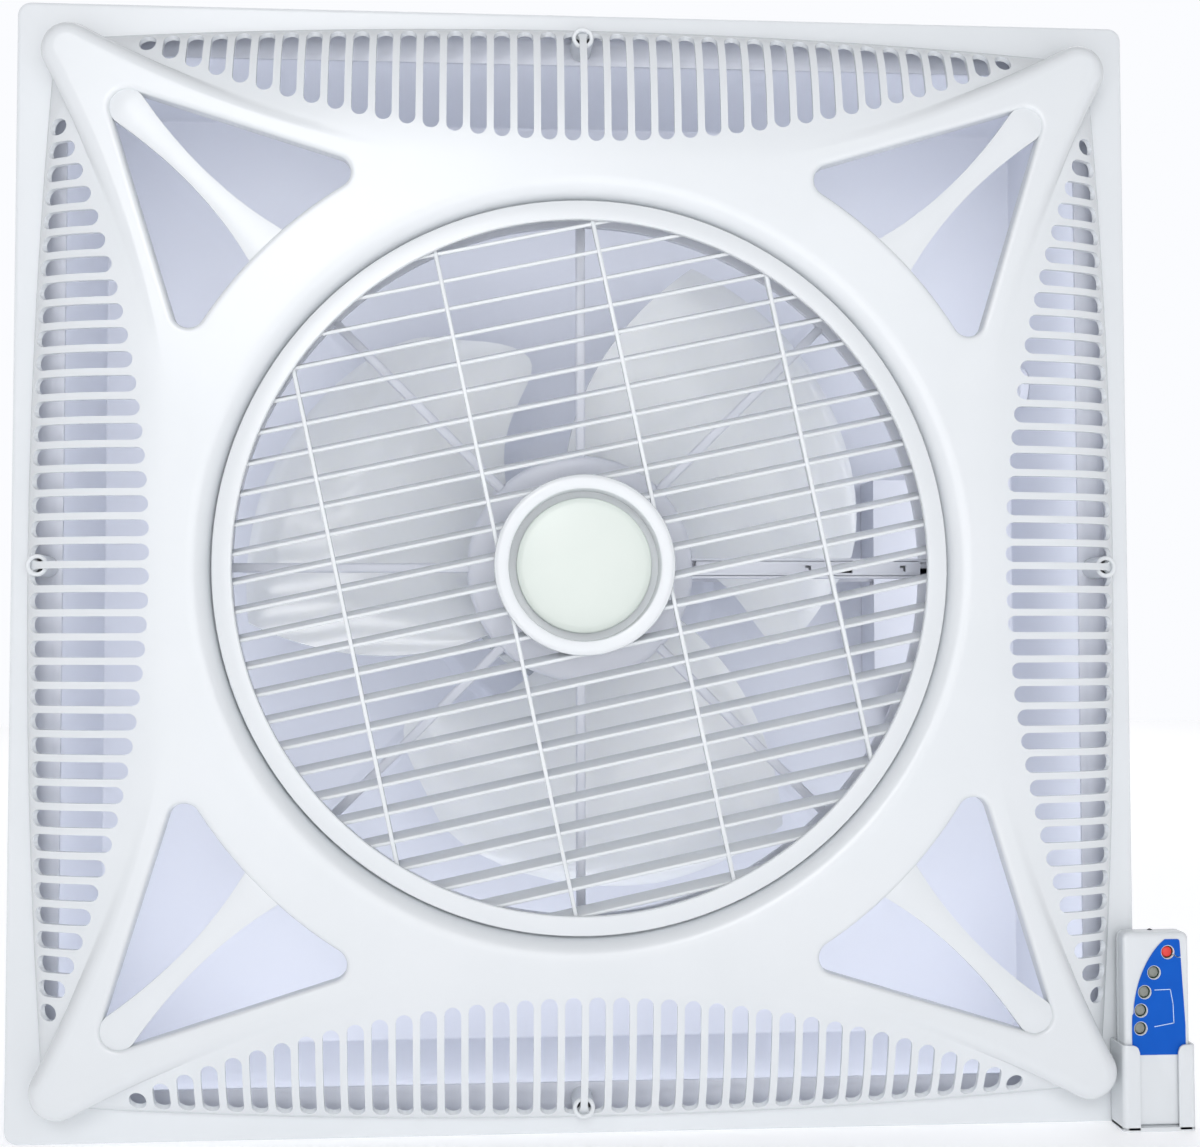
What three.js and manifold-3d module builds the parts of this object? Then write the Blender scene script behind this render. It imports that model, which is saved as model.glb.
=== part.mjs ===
// Box fan for a false ceiling: a square moulded panel with slotted bands and a turning
// louvre grille, the fan and its steel box behind it, and the handset in its holder.
// The panel is shown on edge, as it is unpacked: +X right, +Z up, its face towards -Y.
// The origin is the middle of the panel, level with the front of its flange.
import * as THREE from 'three';
import { mergeGeometries, mergeVertices } from 'three/addons/utils/BufferGeometryUtils.js';
import Module from 'manifold-3d';

const wasm = await Module();
wasm.setup();

// ---- Driving dimensions, in millimetres ----

// Panel flange, one tile of a 600 mm ceiling grid less its fitting gap
const PANEL = 595;
const PANEL_CORNER_R = 7;
const SKIN = 2.5;

// Raised body: a four-pointed star with hollow sides
const BODY_RISE = 25;
const STAR_WAIST = 83;          // panel edge to the middle of a hollow side
const BULB_INSET = 31.635;      // panel edges to the centre of a point's round bulb
const BULB_R = 14.5;
const BODY_ROLL = 8;            // rounding along the body's top edge
const ROLL_STEPS = 2;

// Slotted bands, quarter-round slopes that fill the star's hollow sides
const SLOT_PITCH = 12.3;
const SLOTS_PER_HALF = Math.round(0.3928 * PANEL / SLOT_PITCH);
const SLOT_WIDTH = 8.6;
const BAND_FOOT = 9;            // panel edge to the foot of the slope, mid side
const FOOT_ARC_R = 6.2185 * PANEL;
const SLOT_WAIST = 76;          // panel edge to the inner slot ends, mid side
const SLOT_ARC_STEP = 24.99;    // arc of the slot ends, flatter than the star's side
const SLOT_FOOT_MARGIN = 3.2;
const BAND_WIDTH = 74;          // foot of the slope to where it meets the body's face
const BAND_FACETS = [0, 42, 90];        // degrees round the slope
const SLOT_END_FACETS = 1;
const BAND_BENDS = [-1, -0.6, -0.2, 0.2, 0.6, 1];       // shares of half the band's length

const PANEL_SCREW_INSET = 16.1; // panel edge to a panel screw

// Round opening and its rolled lip
const OPENING_R = 192.5;
const OPENING_ROLL = 11;
const OPENING_SIDES = 36;
const SKIRT_DEPTH = 12;         // lip's skirt behind the flange front

// Corner windows and their spokes
const WINDOW_RING = 40.3;       // opening edge to the windows' inner arc
const WINDOW_TIP_INSET = 62.8;  // panel edges to the centre of the outer tip
const WINDOW_TIP_R = 9.2;
const WINDOW_END_R = 8.3;
const WINDOW_HALF_ANGLE = 12.5; // degrees from the diagonal to an end
const WINDOW_RIM = 2;
const WINDOW_RIM_DEPTH = 9;
const SPOKE_WAIST = 3.2;
const SPOKE_FLARE = 13;
const SPOKE_STEP = 1.5;         // spoke face below the body's face
const SPOKE_THICKNESS = 4.5;

// Steel box behind the panel
const BOX_MARGIN = 8;           // panel edge to the box's outside
const BOX_DEPTH = 168;
const BOX_WALL = 1.5;
const BOX_CORNER_R = 12;
const LIP_WIDTH = 16;           // inward lip round the box's mouth
const LIP_Z = -10;
const BOX_PAD_R = 92;           // pressed pad that the motor plate sits on
const BOX_PAD_RISE = 5;

// Louvre grille
const LOUVRE_GAP = 1.2;
const LOUVRE_RIM = 10.3;
const LOUVRE_WALL = 2;
const LOUVRE_FRONT = 22;
const LOUVRE_DEPTH = 20;
const LOUVRE_TURN = 12;         // degrees, as the grille happens to stand
const SLAT_COUNT = 25;
const SLAT_MARGIN = 7.9;        // grille's edge to the share of its outermost slat
const SLAT_THICKNESS = 2;
const SLAT_DEPTH = 13;
const SLAT_TILT = 13;
const SLAT_FRONT = 18.5;
const CROSS_BARS = 4;
const CROSS_BAR_SPACING = 0.44; // of the grille's radius
const CROSS_BAR_WIDTH = 2.2;
const CROSS_BAR_DEPTH = 4.5;
const HUB_R = 47;
const HUB_SIDES = 24;
const HUB_RIM = 7.7;
const HUB_FRONT = 27;
const HUB_FLOOR = 11;
const HUB_FLOOR_T = 3;
const HUB_CAP_R = 35.4;
const HUB_CAP_DOME = 10;
const HUB_CAP_RISE = 4.5;       // cap's plate above the hub's floor
const HUB_WALL = 2.5;
const HUB_EDGE = 1.5;           // bevel round the hub's mouth
const HUB_SOCKET_WALL = 5;
const SHAFT_SEAT = 2;           // shaft's end below the hub's floor
const LOUVRE_EDGE = 1;          // bevel round the grille's rim
const LOUVRE_FACE_T = 3;

// Guard spider between grille and fan, with the louvre motor in its drum
const GUARD_FRONT = -15;
const GUARD_RING_IN = 6.5;      // guard ring's inside, in from the opening
const GUARD_RING_OUT = 17;
const GUARD_RING_T = 3;
const GUARD_ARMS = 8;
const ARM_WIDTH = 5;
const ARM_DEPTH = 6;
const DRUM_R = 61.4;
const DRUM_DEPTH = 22;
const DRUM_WALL = 2.5;
const BOSS_R = 5;
const SCREW_R = 1.8;
const DUCT_WIDTH = 11;
const DUCT_DEPTH = 8;
const DUCT_WALL = 1.4;
const DUCT_COVER_T = 1.6;
const LATCH_HOLES = [0.07, 0.453, 0.836];       // along the duct, as shares of its run
const LATCH_HOLE = 3;
const RECEIVER = { along: 0.6025, length: 7.4, width: 4.4, depth: 4, sunk: 0.6 };
const LOUVRE_MOTOR_R = 24.5;
const LOUVRE_MOTOR_T = 15;
const LOUVRE_EAR = { half: 5, thick: 1.2 };
const LOUVRE_SHAFT_R = 3.5;

// Fan
const BLADES = 3;
const BLADE_REACH = 186;
const BLADE_T = 2;
const BLADE_ROOT = 0.522;       // blade's root below the hub's face
const BLADE_STRIPS = 4;
const BLADE_FRONT = -56;
const BLADE_BACK = -100;
const FAN_HUB_R = 42;
const FAN_HUB_WALL = 2.5;
const FAN_HUB_TOP = 5;          // thickness of the hub's face
const FAN_HUB_EDGE = 4;         // bevel round it
const FAN_BOSS_R = 12;          // boss round the shaft
const SHAFT_R = 5;
const NUT_R = 14;
const NUT_LENGTH = 10;

// Fan motor
const MOTOR_R = 54;
const MOTOR_SIDES = 16;
const MOTOR_WALL = 2;
const MOTOR_FRONT = -104;
const MOTOR_PLATE_T = 2;
const BEARING_R = 10.7;
const BEARING_T = 7;
const STATOR_BORE = 29.6;
const ROTOR_GAP = 0.6;
const STACK_INSET = 14;         // case's end faces to the laminations
const MOTOR_SCREWS = 4;
const MOTOR_FOOT = { half: 6, reach: 5, thick: 2.5 };

// Supply parts inside the box
const CONTROL = { width: 66, height: 120, depth: 32, wall: 1.8, fromCentre: 222 };
const BOARD = { inset: 2, stand: 5, thick: 1.6, post: 2.5 };
// Transformer, two relays and terminal strip, as shares of the control box:
// [left, low, right, high, top]
const BOARD_PARTS = [[-0.3, 0.1, 0.12, 0.35, 0.69], [-0.33, -0.18, -0.09, -0.03, 0.62],
  [0, -0.18, 0.24, -0.03, 0.62], [-0.33, -0.42, 0.33, -0.32, 0.53]];
const CAPACITOR = { r: 15, length: 52, away: 12 };
const GLAND = { neck: 9, bore: 3.6, collar: 13, nut: 12, nutLength: 6, tail: 8, length: 11 };
const LEAD_R = 3;
const HANGER = { width: 26, length: 42, ear: 11, sheet: 2 };
const HANGER_RISE = 215;        // hangers above and below the middle

// Handset and its holder
const HANDSET = { width: 35.4, height: 101, depth: 15, corner: 3.5, edge: 1.5 };
const HOLDER = { height: 45, wall: 1.6, arm: 9.2, floor: 2.2, overlap: 14.2 };
const SHELL = 1.5;
const FILM_T = 0.4;
const KEY_R = 2.8;
const KEY_SIDES = 8;
const KEY_SUNK = 0.5;           // keys' faces below the handset's face
const KEY_FOOT = 2.6;
const KEY_TRAVEL = 1;
const KEY_WELL_R = 3.35;
const FILM_RIM = 0.4;           // ring of shell left clear round a key's well
// The keys down the label's curved edge: [x, depth below the handset's top]
const KEYS = [[6.2, 10.4], [-1.4, 21], [-6.6, 31.2], [-8.7, 40.8], [-9, 50.2]];
const BATTERY = { low: 3, high: 48, width: 26 };
const CELL = { r: 5.1, length: 44.5, nub: 1.8 };
const LAMP = { r: 2.2, foot: 4, sunk: 3.2 };

// Clearances
const FIT = 0.3;                // pieces that touch or pass each other at rest
const TURN_GAP = 0.35;          // a shaft in its bore

// ---- Worked-out places ----

const HALF = PANEL / 2;
const FACE = BODY_RISE;
// The star's sides are arcs through their waist that touch the bulbs at its points
const BULB_AT = HALF - BULB_INSET;
const WAIST_AT = HALF - STAR_WAIST;
const STAR_ARC_R = (BULB_AT ** 2 + (BULB_AT - WAIST_AT) ** 2 - BULB_R ** 2)
  / (2 * (BULB_AT + BULB_R - WAIST_AT));
const SLOT_ARC_R = STAR_ARC_R + SLOT_ARC_STEP;
const BOX_HALF = HALF - BOX_MARGIN;
const BOX_BACK = -BOX_DEPTH;
const BOX_FLOOR = BOX_BACK + BOX_WALL;
const WINDOW_ARC_R = OPENING_R + WINDOW_RING;
const TIP_AT = HALF - WINDOW_TIP_INSET;
const GUARD_BOSS_AT = OPENING_R + GUARD_RING_OUT - BOSS_R;
const LOUVRE_R = OPENING_R - LOUVRE_GAP;
const SLAT_PITCH = 2 * (LOUVRE_R - SLAT_MARGIN) / SLAT_COUNT;
const CROSS_BAR_PITCH = CROSS_BAR_SPACING * LOUVRE_R;
const DRUM_BACK = GUARD_FRONT - DRUM_DEPTH;
const RAD = Math.PI / 180;

// ---- Finishes ----

const GLOSS_WHITE = { color: 0xeef2f5, roughness: 0.22, metalness: 0 };
const GUARD_WHITE = { color: 0xdfe2ec, roughness: 0.4, metalness: 0 };
const PAINTED_STEEL = { color: 0xd6d8e6, roughness: 0.45, metalness: 0.1 };
const BLADE_PLASTIC = { color: 0xdadcec, roughness: 0.18, metalness: 0 };
const HUB_DISC = { color: 0xecf3ee, roughness: 0.3, metalness: 0 };
const ZINC = { color: 0xa9adb2, roughness: 0.35, metalness: 0.9 };
const BLACK_SCREW = { color: 0x24262b, roughness: 0.4, metalness: 0.8 };
const STEEL = { color: 0x8f949b, roughness: 0.3, metalness: 0.95 };
const ALUMINIUM = { color: 0xb9bdc4, roughness: 0.45, metalness: 0.9 };
const LAMINATION = { color: 0x5d6068, roughness: 0.5, metalness: 0.8 };
const DARK_PLASTIC = { color: 0x1d1f24, roughness: 0.35, metalness: 0 };
const LEAD_SHEATH = { color: 0xd9dadf, roughness: 0.5, metalness: 0 };
const BOARD_GREEN = { color: 0x2f6b46, roughness: 0.5, metalness: 0 };
const LABEL_BLUE = { color: 0x0b5cc0, roughness: 0.3, metalness: 0 };
const KEY_RED = { color: 0xe8413c, roughness: 0.45, metalness: 0 };
const KEY_GREY = { color: 0x8c8f88, roughness: 0.5, metalness: 0 };
const CELL_BLACK = { color: 0x33363c, roughness: 0.35, metalness: 0.3 };

// ---- Making and placing solids ----

// Shared corners merged, collapsed faces dropped, and faces turned outwards.
function weld(source) {
  const geometry = source.index ? source.toNonIndexed() : source.clone();
  geometry.deleteAttribute('normal');
  geometry.deleteAttribute('uv');
  const welded = mergeVertices(geometry, 1e-4);
  const corner = (i) => new THREE.Vector3().fromBufferAttribute(welded.attributes.position, i);
  const kept = [];
  let volume = 0;
  for (let i = 0; i < welded.index.count; i += 3) {
    const [a, b, c] = [0, 1, 2].map((k) => welded.index.getX(i + k));
    if (a === b || b === c || c === a) continue;
    kept.push(a, b, c);
    volume += corner(a).dot(corner(b).cross(corner(c)));
  }
  welded.setIndex(volume < 0 ? kept.reverse() : kept);
  return welded;
}

function solid(geometry) {
  const welded = weld(geometry);
  const vertProperties = new Float32Array(welded.attributes.position.array);
  const triVerts = new Uint32Array(welded.index.array);
  return new wasm.Manifold(new wasm.Mesh({ numProp: 3, vertProperties, triVerts }));
}

function surface(manifold) {
  const mesh = manifold.getMesh();
  const geometry = new THREE.BufferGeometry();
  geometry.setAttribute('position', new THREE.BufferAttribute(mesh.vertProperties, 3));
  geometry.setIndex(new THREE.BufferAttribute(mesh.triVerts, 1));
  return geometry;
}

// A solid is cut or joined from a list of geometries.
const join = (body, ...pieces) => pieces.reduce((sum, piece) => sum.add(solid(piece)), body);
const cut = (body, ...tools) => tools.reduce((rest, tool) => rest.subtract(solid(tool)), body);

function add(group, name, shape, finish, place = [0, 0, 0], turn = [0, 0, 0]) {
  const geometry = shape.isBufferGeometry ? weld(shape) : surface(shape);
  geometry.computeVertexNormals();
  const mesh = new THREE.Mesh(geometry, new THREE.MeshStandardMaterial(finish));
  mesh.name = name;
  mesh.position.set(...place);
  mesh.rotation.set(...turn);
  group.add(mesh);
}

// Round piece from a list of [radius, height] pairs; a ring's list closes on itself.
function turned(profile, sides) {
  const [first, last] = [profile[0], profile[profile.length - 1]];
  const onAxis = first[0] === 0 && last[0] === 0;
  const points = (onAxis ? profile : [...profile, first]).map(([r, z]) => new THREE.Vector2(r, z));
  return new THREE.LatheGeometry(points, sides).rotateX(Math.PI / 2);
}

const ring = (inside, outside, low, high, sides) => turned(
  [[inside, low], [outside, low], [outside, high], [inside, high]], sides);

const rod = (r, low, high, sides) => new THREE.CylinderGeometry(r, r, high - low, sides)
  .rotateX(Math.PI / 2).translate(0, 0, (low + high) / 2);

// Box from its lowest corner to its highest
const block = ([x0, y0, z0], [x1, y1, z1]) => new THREE.BoxGeometry(x1 - x0, y1 - y0, z1 - z0)
  .translate((x0 + x1) / 2, (y0 + y1) / 2, (z0 + z1) / 2);

const prism = (shape, low, high, curveSegments = 6) => new THREE.ExtrudeGeometry(shape,
  { depth: high - low, bevelEnabled: false, curveSegments }).translate(0, 0, low);

function roundedRect(width, height, r) {
  const [x, y] = [width / 2, height / 2];
  const shape = new THREE.Shape();
  shape.absarc(x - r, y - r, r, 0, Math.PI / 2);
  shape.absarc(r - x, y - r, r, Math.PI / 2, Math.PI);
  shape.absarc(r - x, r - y, r, Math.PI, 1.5 * Math.PI);
  shape.absarc(x - r, r - y, r, 1.5 * Math.PI, 2 * Math.PI);
  return shape;
}

// Closed body between two grids of points, one above the other.
function slab(upper, lower) {
  const rows = upper.length;
  const columns = upper[0].length;
  const points = [...upper.flat(), ...lower.flat()];
  const at = (side, i, j) => side * rows * columns + i * columns + j;
  const faces = [];
  const quad = (a, b, c, d) => faces.push(a, b, c, a, c, d);
  for (let i = 0; i + 1 < rows; i++) {
    for (let j = 0; j + 1 < columns; j++) {
      quad(at(0, i, j), at(0, i + 1, j), at(0, i + 1, j + 1), at(0, i, j + 1));
      quad(at(1, i, j), at(1, i, j + 1), at(1, i + 1, j + 1), at(1, i + 1, j));
    }
    quad(at(0, i, 0), at(1, i, 0), at(1, i + 1, 0), at(0, i + 1, 0));
    const j = columns - 1;
    quad(at(0, i, j), at(0, i + 1, j), at(1, i + 1, j), at(1, i, j));
  }
  for (let j = 0; j + 1 < columns; j++) {
    quad(at(0, 0, j), at(0, 0, j + 1), at(1, 0, j + 1), at(1, 0, j));
    const i = rows - 1;
    quad(at(0, i, j), at(1, i, j), at(1, i, j + 1), at(0, i, j + 1));
  }
  const geometry = new THREE.BufferGeometry().setFromPoints(points);
  geometry.setIndex(faces);
  return geometry;
}

// Screw standing on its head: the head above z = 0, the shank below.
const screw = (headR, headHeight, shankR, length) => turned(
  [[0, headHeight], [headR * 0.8, headHeight], [headR, 0], [shankR, 0], [shankR, -length],
    [0, -length]], 8);

const aroundAxis = (count, make) => Array.from({ length: count }, (_, i) => make(
  (i * 2 * Math.PI) / count, i));

// ---- Front panel ----

// Distance from the panel edge, at x along a side, of the lines that bound a band
const sagitta = (r, x) => r - Math.sqrt(r * r - x * x);
const footLine = (x) => BAND_FOOT + sagitta(FOOT_ARC_R, x);
const starLine = (x) => STAR_WAIST - sagitta(STAR_ARC_R, x);
const slotLine = (x) => SLOT_WAIST - sagitta(SLOT_ARC_R, x);

// Star outline: four hollow arcs joined by round bulbs, drawn in by an inset
function starShape(inset) {
  const arcCentre = WAIST_AT + STAR_ARC_R;
  const lean = Math.atan2(arcCentre - BULB_AT, BULB_AT);
  const shape = new THREE.Shape();
  for (let side = 0; side < 4; side++) {
    const turn = (side * Math.PI) / 2;
    const spin = ([x, y]) => [x * Math.cos(turn) - y * Math.sin(turn),
      x * Math.sin(turn) + y * Math.cos(turn)];
    shape.absarc(...spin([0, -arcCentre]), STAR_ARC_R + inset,
      Math.PI - lean + turn, lean + turn, true);
    shape.absarc(...spin([BULB_AT, -BULB_AT]), BULB_R - inset,
      lean + Math.PI + turn, 2.5 * Math.PI - lean + turn, false);
  }
  return shape;
}

// Star block with a rolled top edge; the lower roll is trimmed away at its foot.
function starBlock(inset, foot, top, roll, steps) {
  const depth = top - foot;
  const geometry = new THREE.ExtrudeGeometry(starShape(inset), {
    depth, bevelThickness: roll, bevelSize: roll, bevelOffset: -roll,
    bevelSegments: steps, curveSegments: 4,
  }).translate(0, 0, foot - roll);
  const keep = block([-PANEL, -PANEL, foot], [PANEL, PANEL, top + roll]);
  return solid(geometry).intersect(solid(keep));
}

// Sizes on this binary step stay exact in a mesh, which keeps long facets truly flat.
const snap = (size) => Math.round(size * 256) / 256;

// Quarter-round slope along the lower side, running in under the star's hollow side
function bandBlock(inset, base) {
  const [width, height] = [BAND_WIDTH - inset, FACE - inset];
  const profile = BAND_FACETS.map((angle) => [snap(inset + width * (1 - Math.cos(angle * RAD))),
    snap(height * Math.sin(angle * RAD))]);
  profile.push([BAND_WIDTH + BODY_ROLL + SKIN, height]);
  const upper = [];
  const lower = [];
  const last = SLOTS_PER_HALF + 1;
  for (const share of BAND_BENDS) {
    const x = snap(share * last * SLOT_PITCH) - (Math.abs(share) === 1 ? share * inset : 0);
    const foot = snap(footLine(x)) - HALF;
    upper.push(profile.map(([across, z]) => new THREE.Vector3(x, foot + across, z)));
    lower.push(profile.map(([across]) => new THREE.Vector3(x, foot + across, base)));
  }
  return slab(upper, lower);
}

// All the slots of the lower side, each a round-ended prism
function slotRow() {
  const slots = [];
  const r = SLOT_WIDTH / 2;
  for (let i = -SLOTS_PER_HALF; i < SLOTS_PER_HALF; i++) {
    const x = (i + 0.5) * SLOT_PITCH;
    const from = footLine(x) + SLOT_FOOT_MARGIN;
    const length = slotLine(x) - from;
    const end = (turn, y) => Array.from({ length: SLOT_END_FACETS + 1 }, (_, k) => {
      const angle = turn + (k * Math.PI) / SLOT_END_FACETS;
      return new THREE.Vector2(r * Math.cos(angle), y + r * Math.sin(angle));
    });
    const shape = new THREE.Shape([...end(0, length - r), ...end(Math.PI, r)]);
    slots.push(prism(shape, -2 * SKIN, FACE + SKIN).translate(x, from - HALF, 0));
  }
  return mergeGeometries(slots);
}

const quarterTurns = (make) => [0, 1, 2, 3].map((side) => make().rotateZ((side * Math.PI) / 2));

// Rounded triangle of a corner window, grown by a rim, with its inner side left to the ring
function windowBlock(grow, low, high) {
  const endAt = WINDOW_ARC_R + WINDOW_END_R;
  const ends = [45 - WINDOW_HALF_ANGLE, 45 + WINDOW_HALF_ANGLE].map(
    (angle) => new THREE.Vector2(Math.cos(angle * RAD), Math.sin(angle * RAD)).multiplyScalar(endAt));
  const tip = new THREE.Vector2(TIP_AT, TIP_AT);
  const side = tip.clone().sub(ends[1]);
  const slip = Math.asin((WINDOW_TIP_R - WINDOW_END_R) / side.length());
  const facing = side.angle() + Math.PI / 2 + slip;
  const mirrored = Math.PI / 2 - facing;
  const shape = new THREE.Shape();
  shape.absarc(tip.x, tip.y, WINDOW_TIP_R + grow, mirrored, facing);
  shape.absarc(ends[1].x, ends[1].y, WINDOW_END_R + grow, facing, 1.25 * Math.PI);
  shape.absarc(ends[0].x, ends[0].y, WINDOW_END_R + grow, 1.25 * Math.PI, 2 * Math.PI + mirrored);
  const opening = solid(prism(shape, low, high, 2));
  return cut(opening, rod(WINDOW_ARC_R - grow, low - 1, high + 1, OPENING_SIDES));
}

// Spoke that crosses a window from its tip to the ring, narrow in the middle
function spoke() {
  const tip = TIP_AT * Math.SQRT2;
  const root = WINDOW_ARC_R - WINDOW_RIM - 3;
  const shape = new THREE.Shape();
  shape.absarc(tip, 0, WINDOW_TIP_R, -Math.PI / 2, Math.PI / 2);
  const third = (tip - root) / 3;
  shape.bezierCurveTo(tip - third, SPOKE_WAIST, root + third, SPOKE_WAIST, root, SPOKE_FLARE);
  shape.lineTo(root, -SPOKE_FLARE);
  shape.bezierCurveTo(root + third, -SPOKE_WAIST, tip - third, -SPOKE_WAIST, tip, -WINDOW_TIP_R);
  const top = FACE - SPOKE_STEP;
  return prism(shape, top - SPOKE_THICKNESS, top, 4).rotateZ(Math.PI / 4);
}

// Rolled lip of the round opening, with the skirt that the louvre turns in
function openingLip() {
  const outside = OPENING_R + OPENING_ROLL;
  return turned([[outside + 1, FACE], [outside - 1, FACE], [OPENING_R + 6, FACE - 2.5],
    [OPENING_R, FACE - 9], [OPENING_R, -SKIRT_DEPTH],
    [OPENING_R + SKIN, -SKIRT_DEPTH], [OPENING_R + SKIN, FACE - 10],
    [outside + 1, FACE - SKIN]], OPENING_SIDES);
}

const PANEL_SCREW_AT = HALF - PANEL_SCREW_INSET;
const PANEL_BOSS = { r: 5.8, bore: 3.6, web: 2, low: LIP_Z + FIT, high: 10.5 };

function frontPanel() {
  const plate = solid(prism(roundedRect(PANEL, PANEL, PANEL_CORNER_R), -SKIN, 0, 3));
  const star = starBlock(0, -SKIN, FACE, BODY_ROLL, ROLL_STEPS);
  let body = join(plate.add(star), ...quarterTurns(() => bandBlock(0, -SKIN)));
  const hollow = starBlock(SKIN, -SKIN - 1, FACE - SKIN, BODY_ROLL - SKIN, 1);
  body = cut(body.subtract(hollow), ...quarterTurns(() => bandBlock(SKIN, -SKIN - 1)));
  body = cut(body, rod(OPENING_R + OPENING_ROLL, -SKIN - 1, FACE + 1, OPENING_SIDES));
  body = join(body, openingLip());
  const corners = (make) => [0, 90, 180, 270].map((angle) => make().rotate([0, 0, angle]));
  corners(() => windowBlock(WINDOW_RIM, FACE - WINDOW_RIM_DEPTH, FACE - 0.5))
    .forEach((rim) => { body = body.add(rim); });
  corners(() => windowBlock(0, -SKIN, FACE + 1))
    .forEach((opening) => { body = body.subtract(opening); });
  body = join(body, ...quarterTurns(spoke));
  body = cut(body, ...quarterTurns(slotRow));
  const { r, bore, web, low, high } = PANEL_BOSS;
  const boss = () => turned([[SCREW_R + FIT, low], [r, low], [r, high], [bore, high],
    [bore, low + web], [SCREW_R + FIT, low + web]], 8).translate(0, PANEL_SCREW_AT, 0);
  body = join(body, ...quarterTurns(boss));
  const posts = quarterTurns(() => ring(SCREW_R, BOSS_R, GUARD_FRONT + FIT, FACE - 0.8 * SKIN, 6)
    .translate(GUARD_BOSS_AT, 0, 0));
  return join(body, ...posts);
}

const fan = new THREE.Group();
fan.rotation.x = Math.PI / 2;
add(fan, 'front_panel', frontPanel(), GLOSS_WHITE);

// ---- Steel box ----

function rearHousing() {
  const outside = roundedRect(2 * BOX_HALF, 2 * BOX_HALF, BOX_CORNER_R);
  const inside = roundedRect(2 * (BOX_HALF - BOX_WALL), 2 * (BOX_HALF - BOX_WALL),
    BOX_CORNER_R - BOX_WALL);
  let box = cut(solid(prism(outside, BOX_BACK, -SKIN - FIT, 3)),
    prism(inside, BOX_FLOOR, 0, 3));
  const lipOutside = 2 * BOX_HALF - BOX_WALL;
  const lip = cut(solid(prism(roundedRect(lipOutside, lipOutside, BOX_CORNER_R), LIP_Z - BOX_WALL,
    LIP_Z, 3)), prism(roundedRect(lipOutside - 2 * LIP_WIDTH, lipOutside - 2 * LIP_WIDTH,
    BOX_CORNER_R), LIP_Z - 2 * BOX_WALL, 0, 3));
  box = box.add(lip);
  const pad = turned([[0, BOX_FLOOR + BOX_PAD_RISE], [BOX_PAD_R - BOX_PAD_RISE,
    BOX_FLOOR + BOX_PAD_RISE], [BOX_PAD_R, BOX_FLOOR - BOX_WALL / 2],
  [0, BOX_FLOOR - BOX_WALL / 2]], 24);
  const recess = pad.clone().translate(0, 0, -BOX_WALL);
  box = cut(join(box, pad), recess);
  const gland = rod(GLAND.neck + FIT, 0, 4 * BOX_WALL, 12).rotateY(Math.PI / 2)
    .translate(BOX_HALF - 2 * BOX_WALL, GLAND_AT.y, GLAND_AT.z);
  return cut(box, ...quarterTurns(() => rod(SCREW_R + FIT, LIP_Z - 2 * BOX_WALL, LIP_Z + 1, 8)
    .translate(0, PANEL_SCREW_AT, 0)), gland);
}

const GLAND_AT = { y: 120, z: BOX_BACK + 28 };
add(fan, 'rear_housing', rearHousing(), PAINTED_STEEL);

['top', 'left', 'bottom', 'right'].forEach((side, i) => {
  const angle = Math.PI / 2 + (i * Math.PI) / 2;
  const headAt = PANEL_BOSS.low + PANEL_BOSS.web + FIT;
  add(fan, `panel_screw_${side}`, screw(3.1, 2.2, SCREW_R, headAt - LIP_Z + 5), BLACK_SCREW,
    [PANEL_SCREW_AT * Math.cos(angle), PANEL_SCREW_AT * Math.sin(angle), headAt]);
});

// ---- Guard spider ----

const GUARD_IN = OPENING_R - GUARD_RING_IN;
const GUARD_OUT = OPENING_R + GUARD_RING_OUT;
const DRUM_HOLE_R = LOUVRE_SHAFT_R + 4;
const DUCT_RUN = { from: DRUM_R + 1, to: GUARD_BOSS_AT - BOSS_R };
const MOTOR_EAR_AT = LOUVRE_MOTOR_R + LOUVRE_EAR.half;

function guardSpider() {
  let guard = solid(ring(GUARD_IN, GUARD_OUT, GUARD_FRONT - GUARD_RING_T, GUARD_FRONT,
    OPENING_SIDES));
  const drum = turned([[DRUM_HOLE_R, GUARD_FRONT], [DRUM_R - 2, GUARD_FRONT],
    [DRUM_R, GUARD_FRONT - 2], [DRUM_R, DRUM_BACK], [DRUM_R - DRUM_WALL, DRUM_BACK],
    [DRUM_R - DRUM_WALL, GUARD_FRONT - DRUM_WALL], [DRUM_HOLE_R, GUARD_FRONT - DRUM_WALL]], HUB_SIDES);
  const arms = aroundAxis(GUARD_ARMS, (angle) => block(
    [DRUM_R - 1, -ARM_WIDTH / 2, GUARD_FRONT - ARM_DEPTH],
    [GUARD_IN + 2, ARM_WIDTH / 2, GUARD_FRONT]).rotateZ(angle)).slice(1);
  const duct = block([DRUM_R - DRUM_WALL / 2, -DUCT_WIDTH / 2, GUARD_FRONT - DUCT_DEPTH],
    [GUARD_OUT - 1, DUCT_WIDTH / 2, GUARD_FRONT]);
  guard = join(guard, drum, ...arms, duct);
  const channel = block(
    [DUCT_RUN.from, DUCT_WALL - DUCT_WIDTH / 2, GUARD_FRONT - DUCT_DEPTH + DUCT_WALL],
    [DUCT_RUN.to, DUCT_WIDTH / 2 - DUCT_WALL, GUARD_FRONT + 1]);
  const screwHoles = aroundAxis(4, (angle) => rod(SCREW_R + FIT, GUARD_FRONT - 2 * DUCT_DEPTH,
    GUARD_FRONT + 1, 8).translate(GUARD_BOSS_AT, 0, 0).rotateZ(angle));
  const earHoles = [1, -1].map((side) => rod(SCREW_R + FIT, GUARD_FRONT - 2 * DRUM_WALL,
    GUARD_FRONT + 1, 8).translate(0, side * MOTOR_EAR_AT, 0));
  return cut(guard, channel, ...screwHoles, ...earHoles);
}

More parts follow.
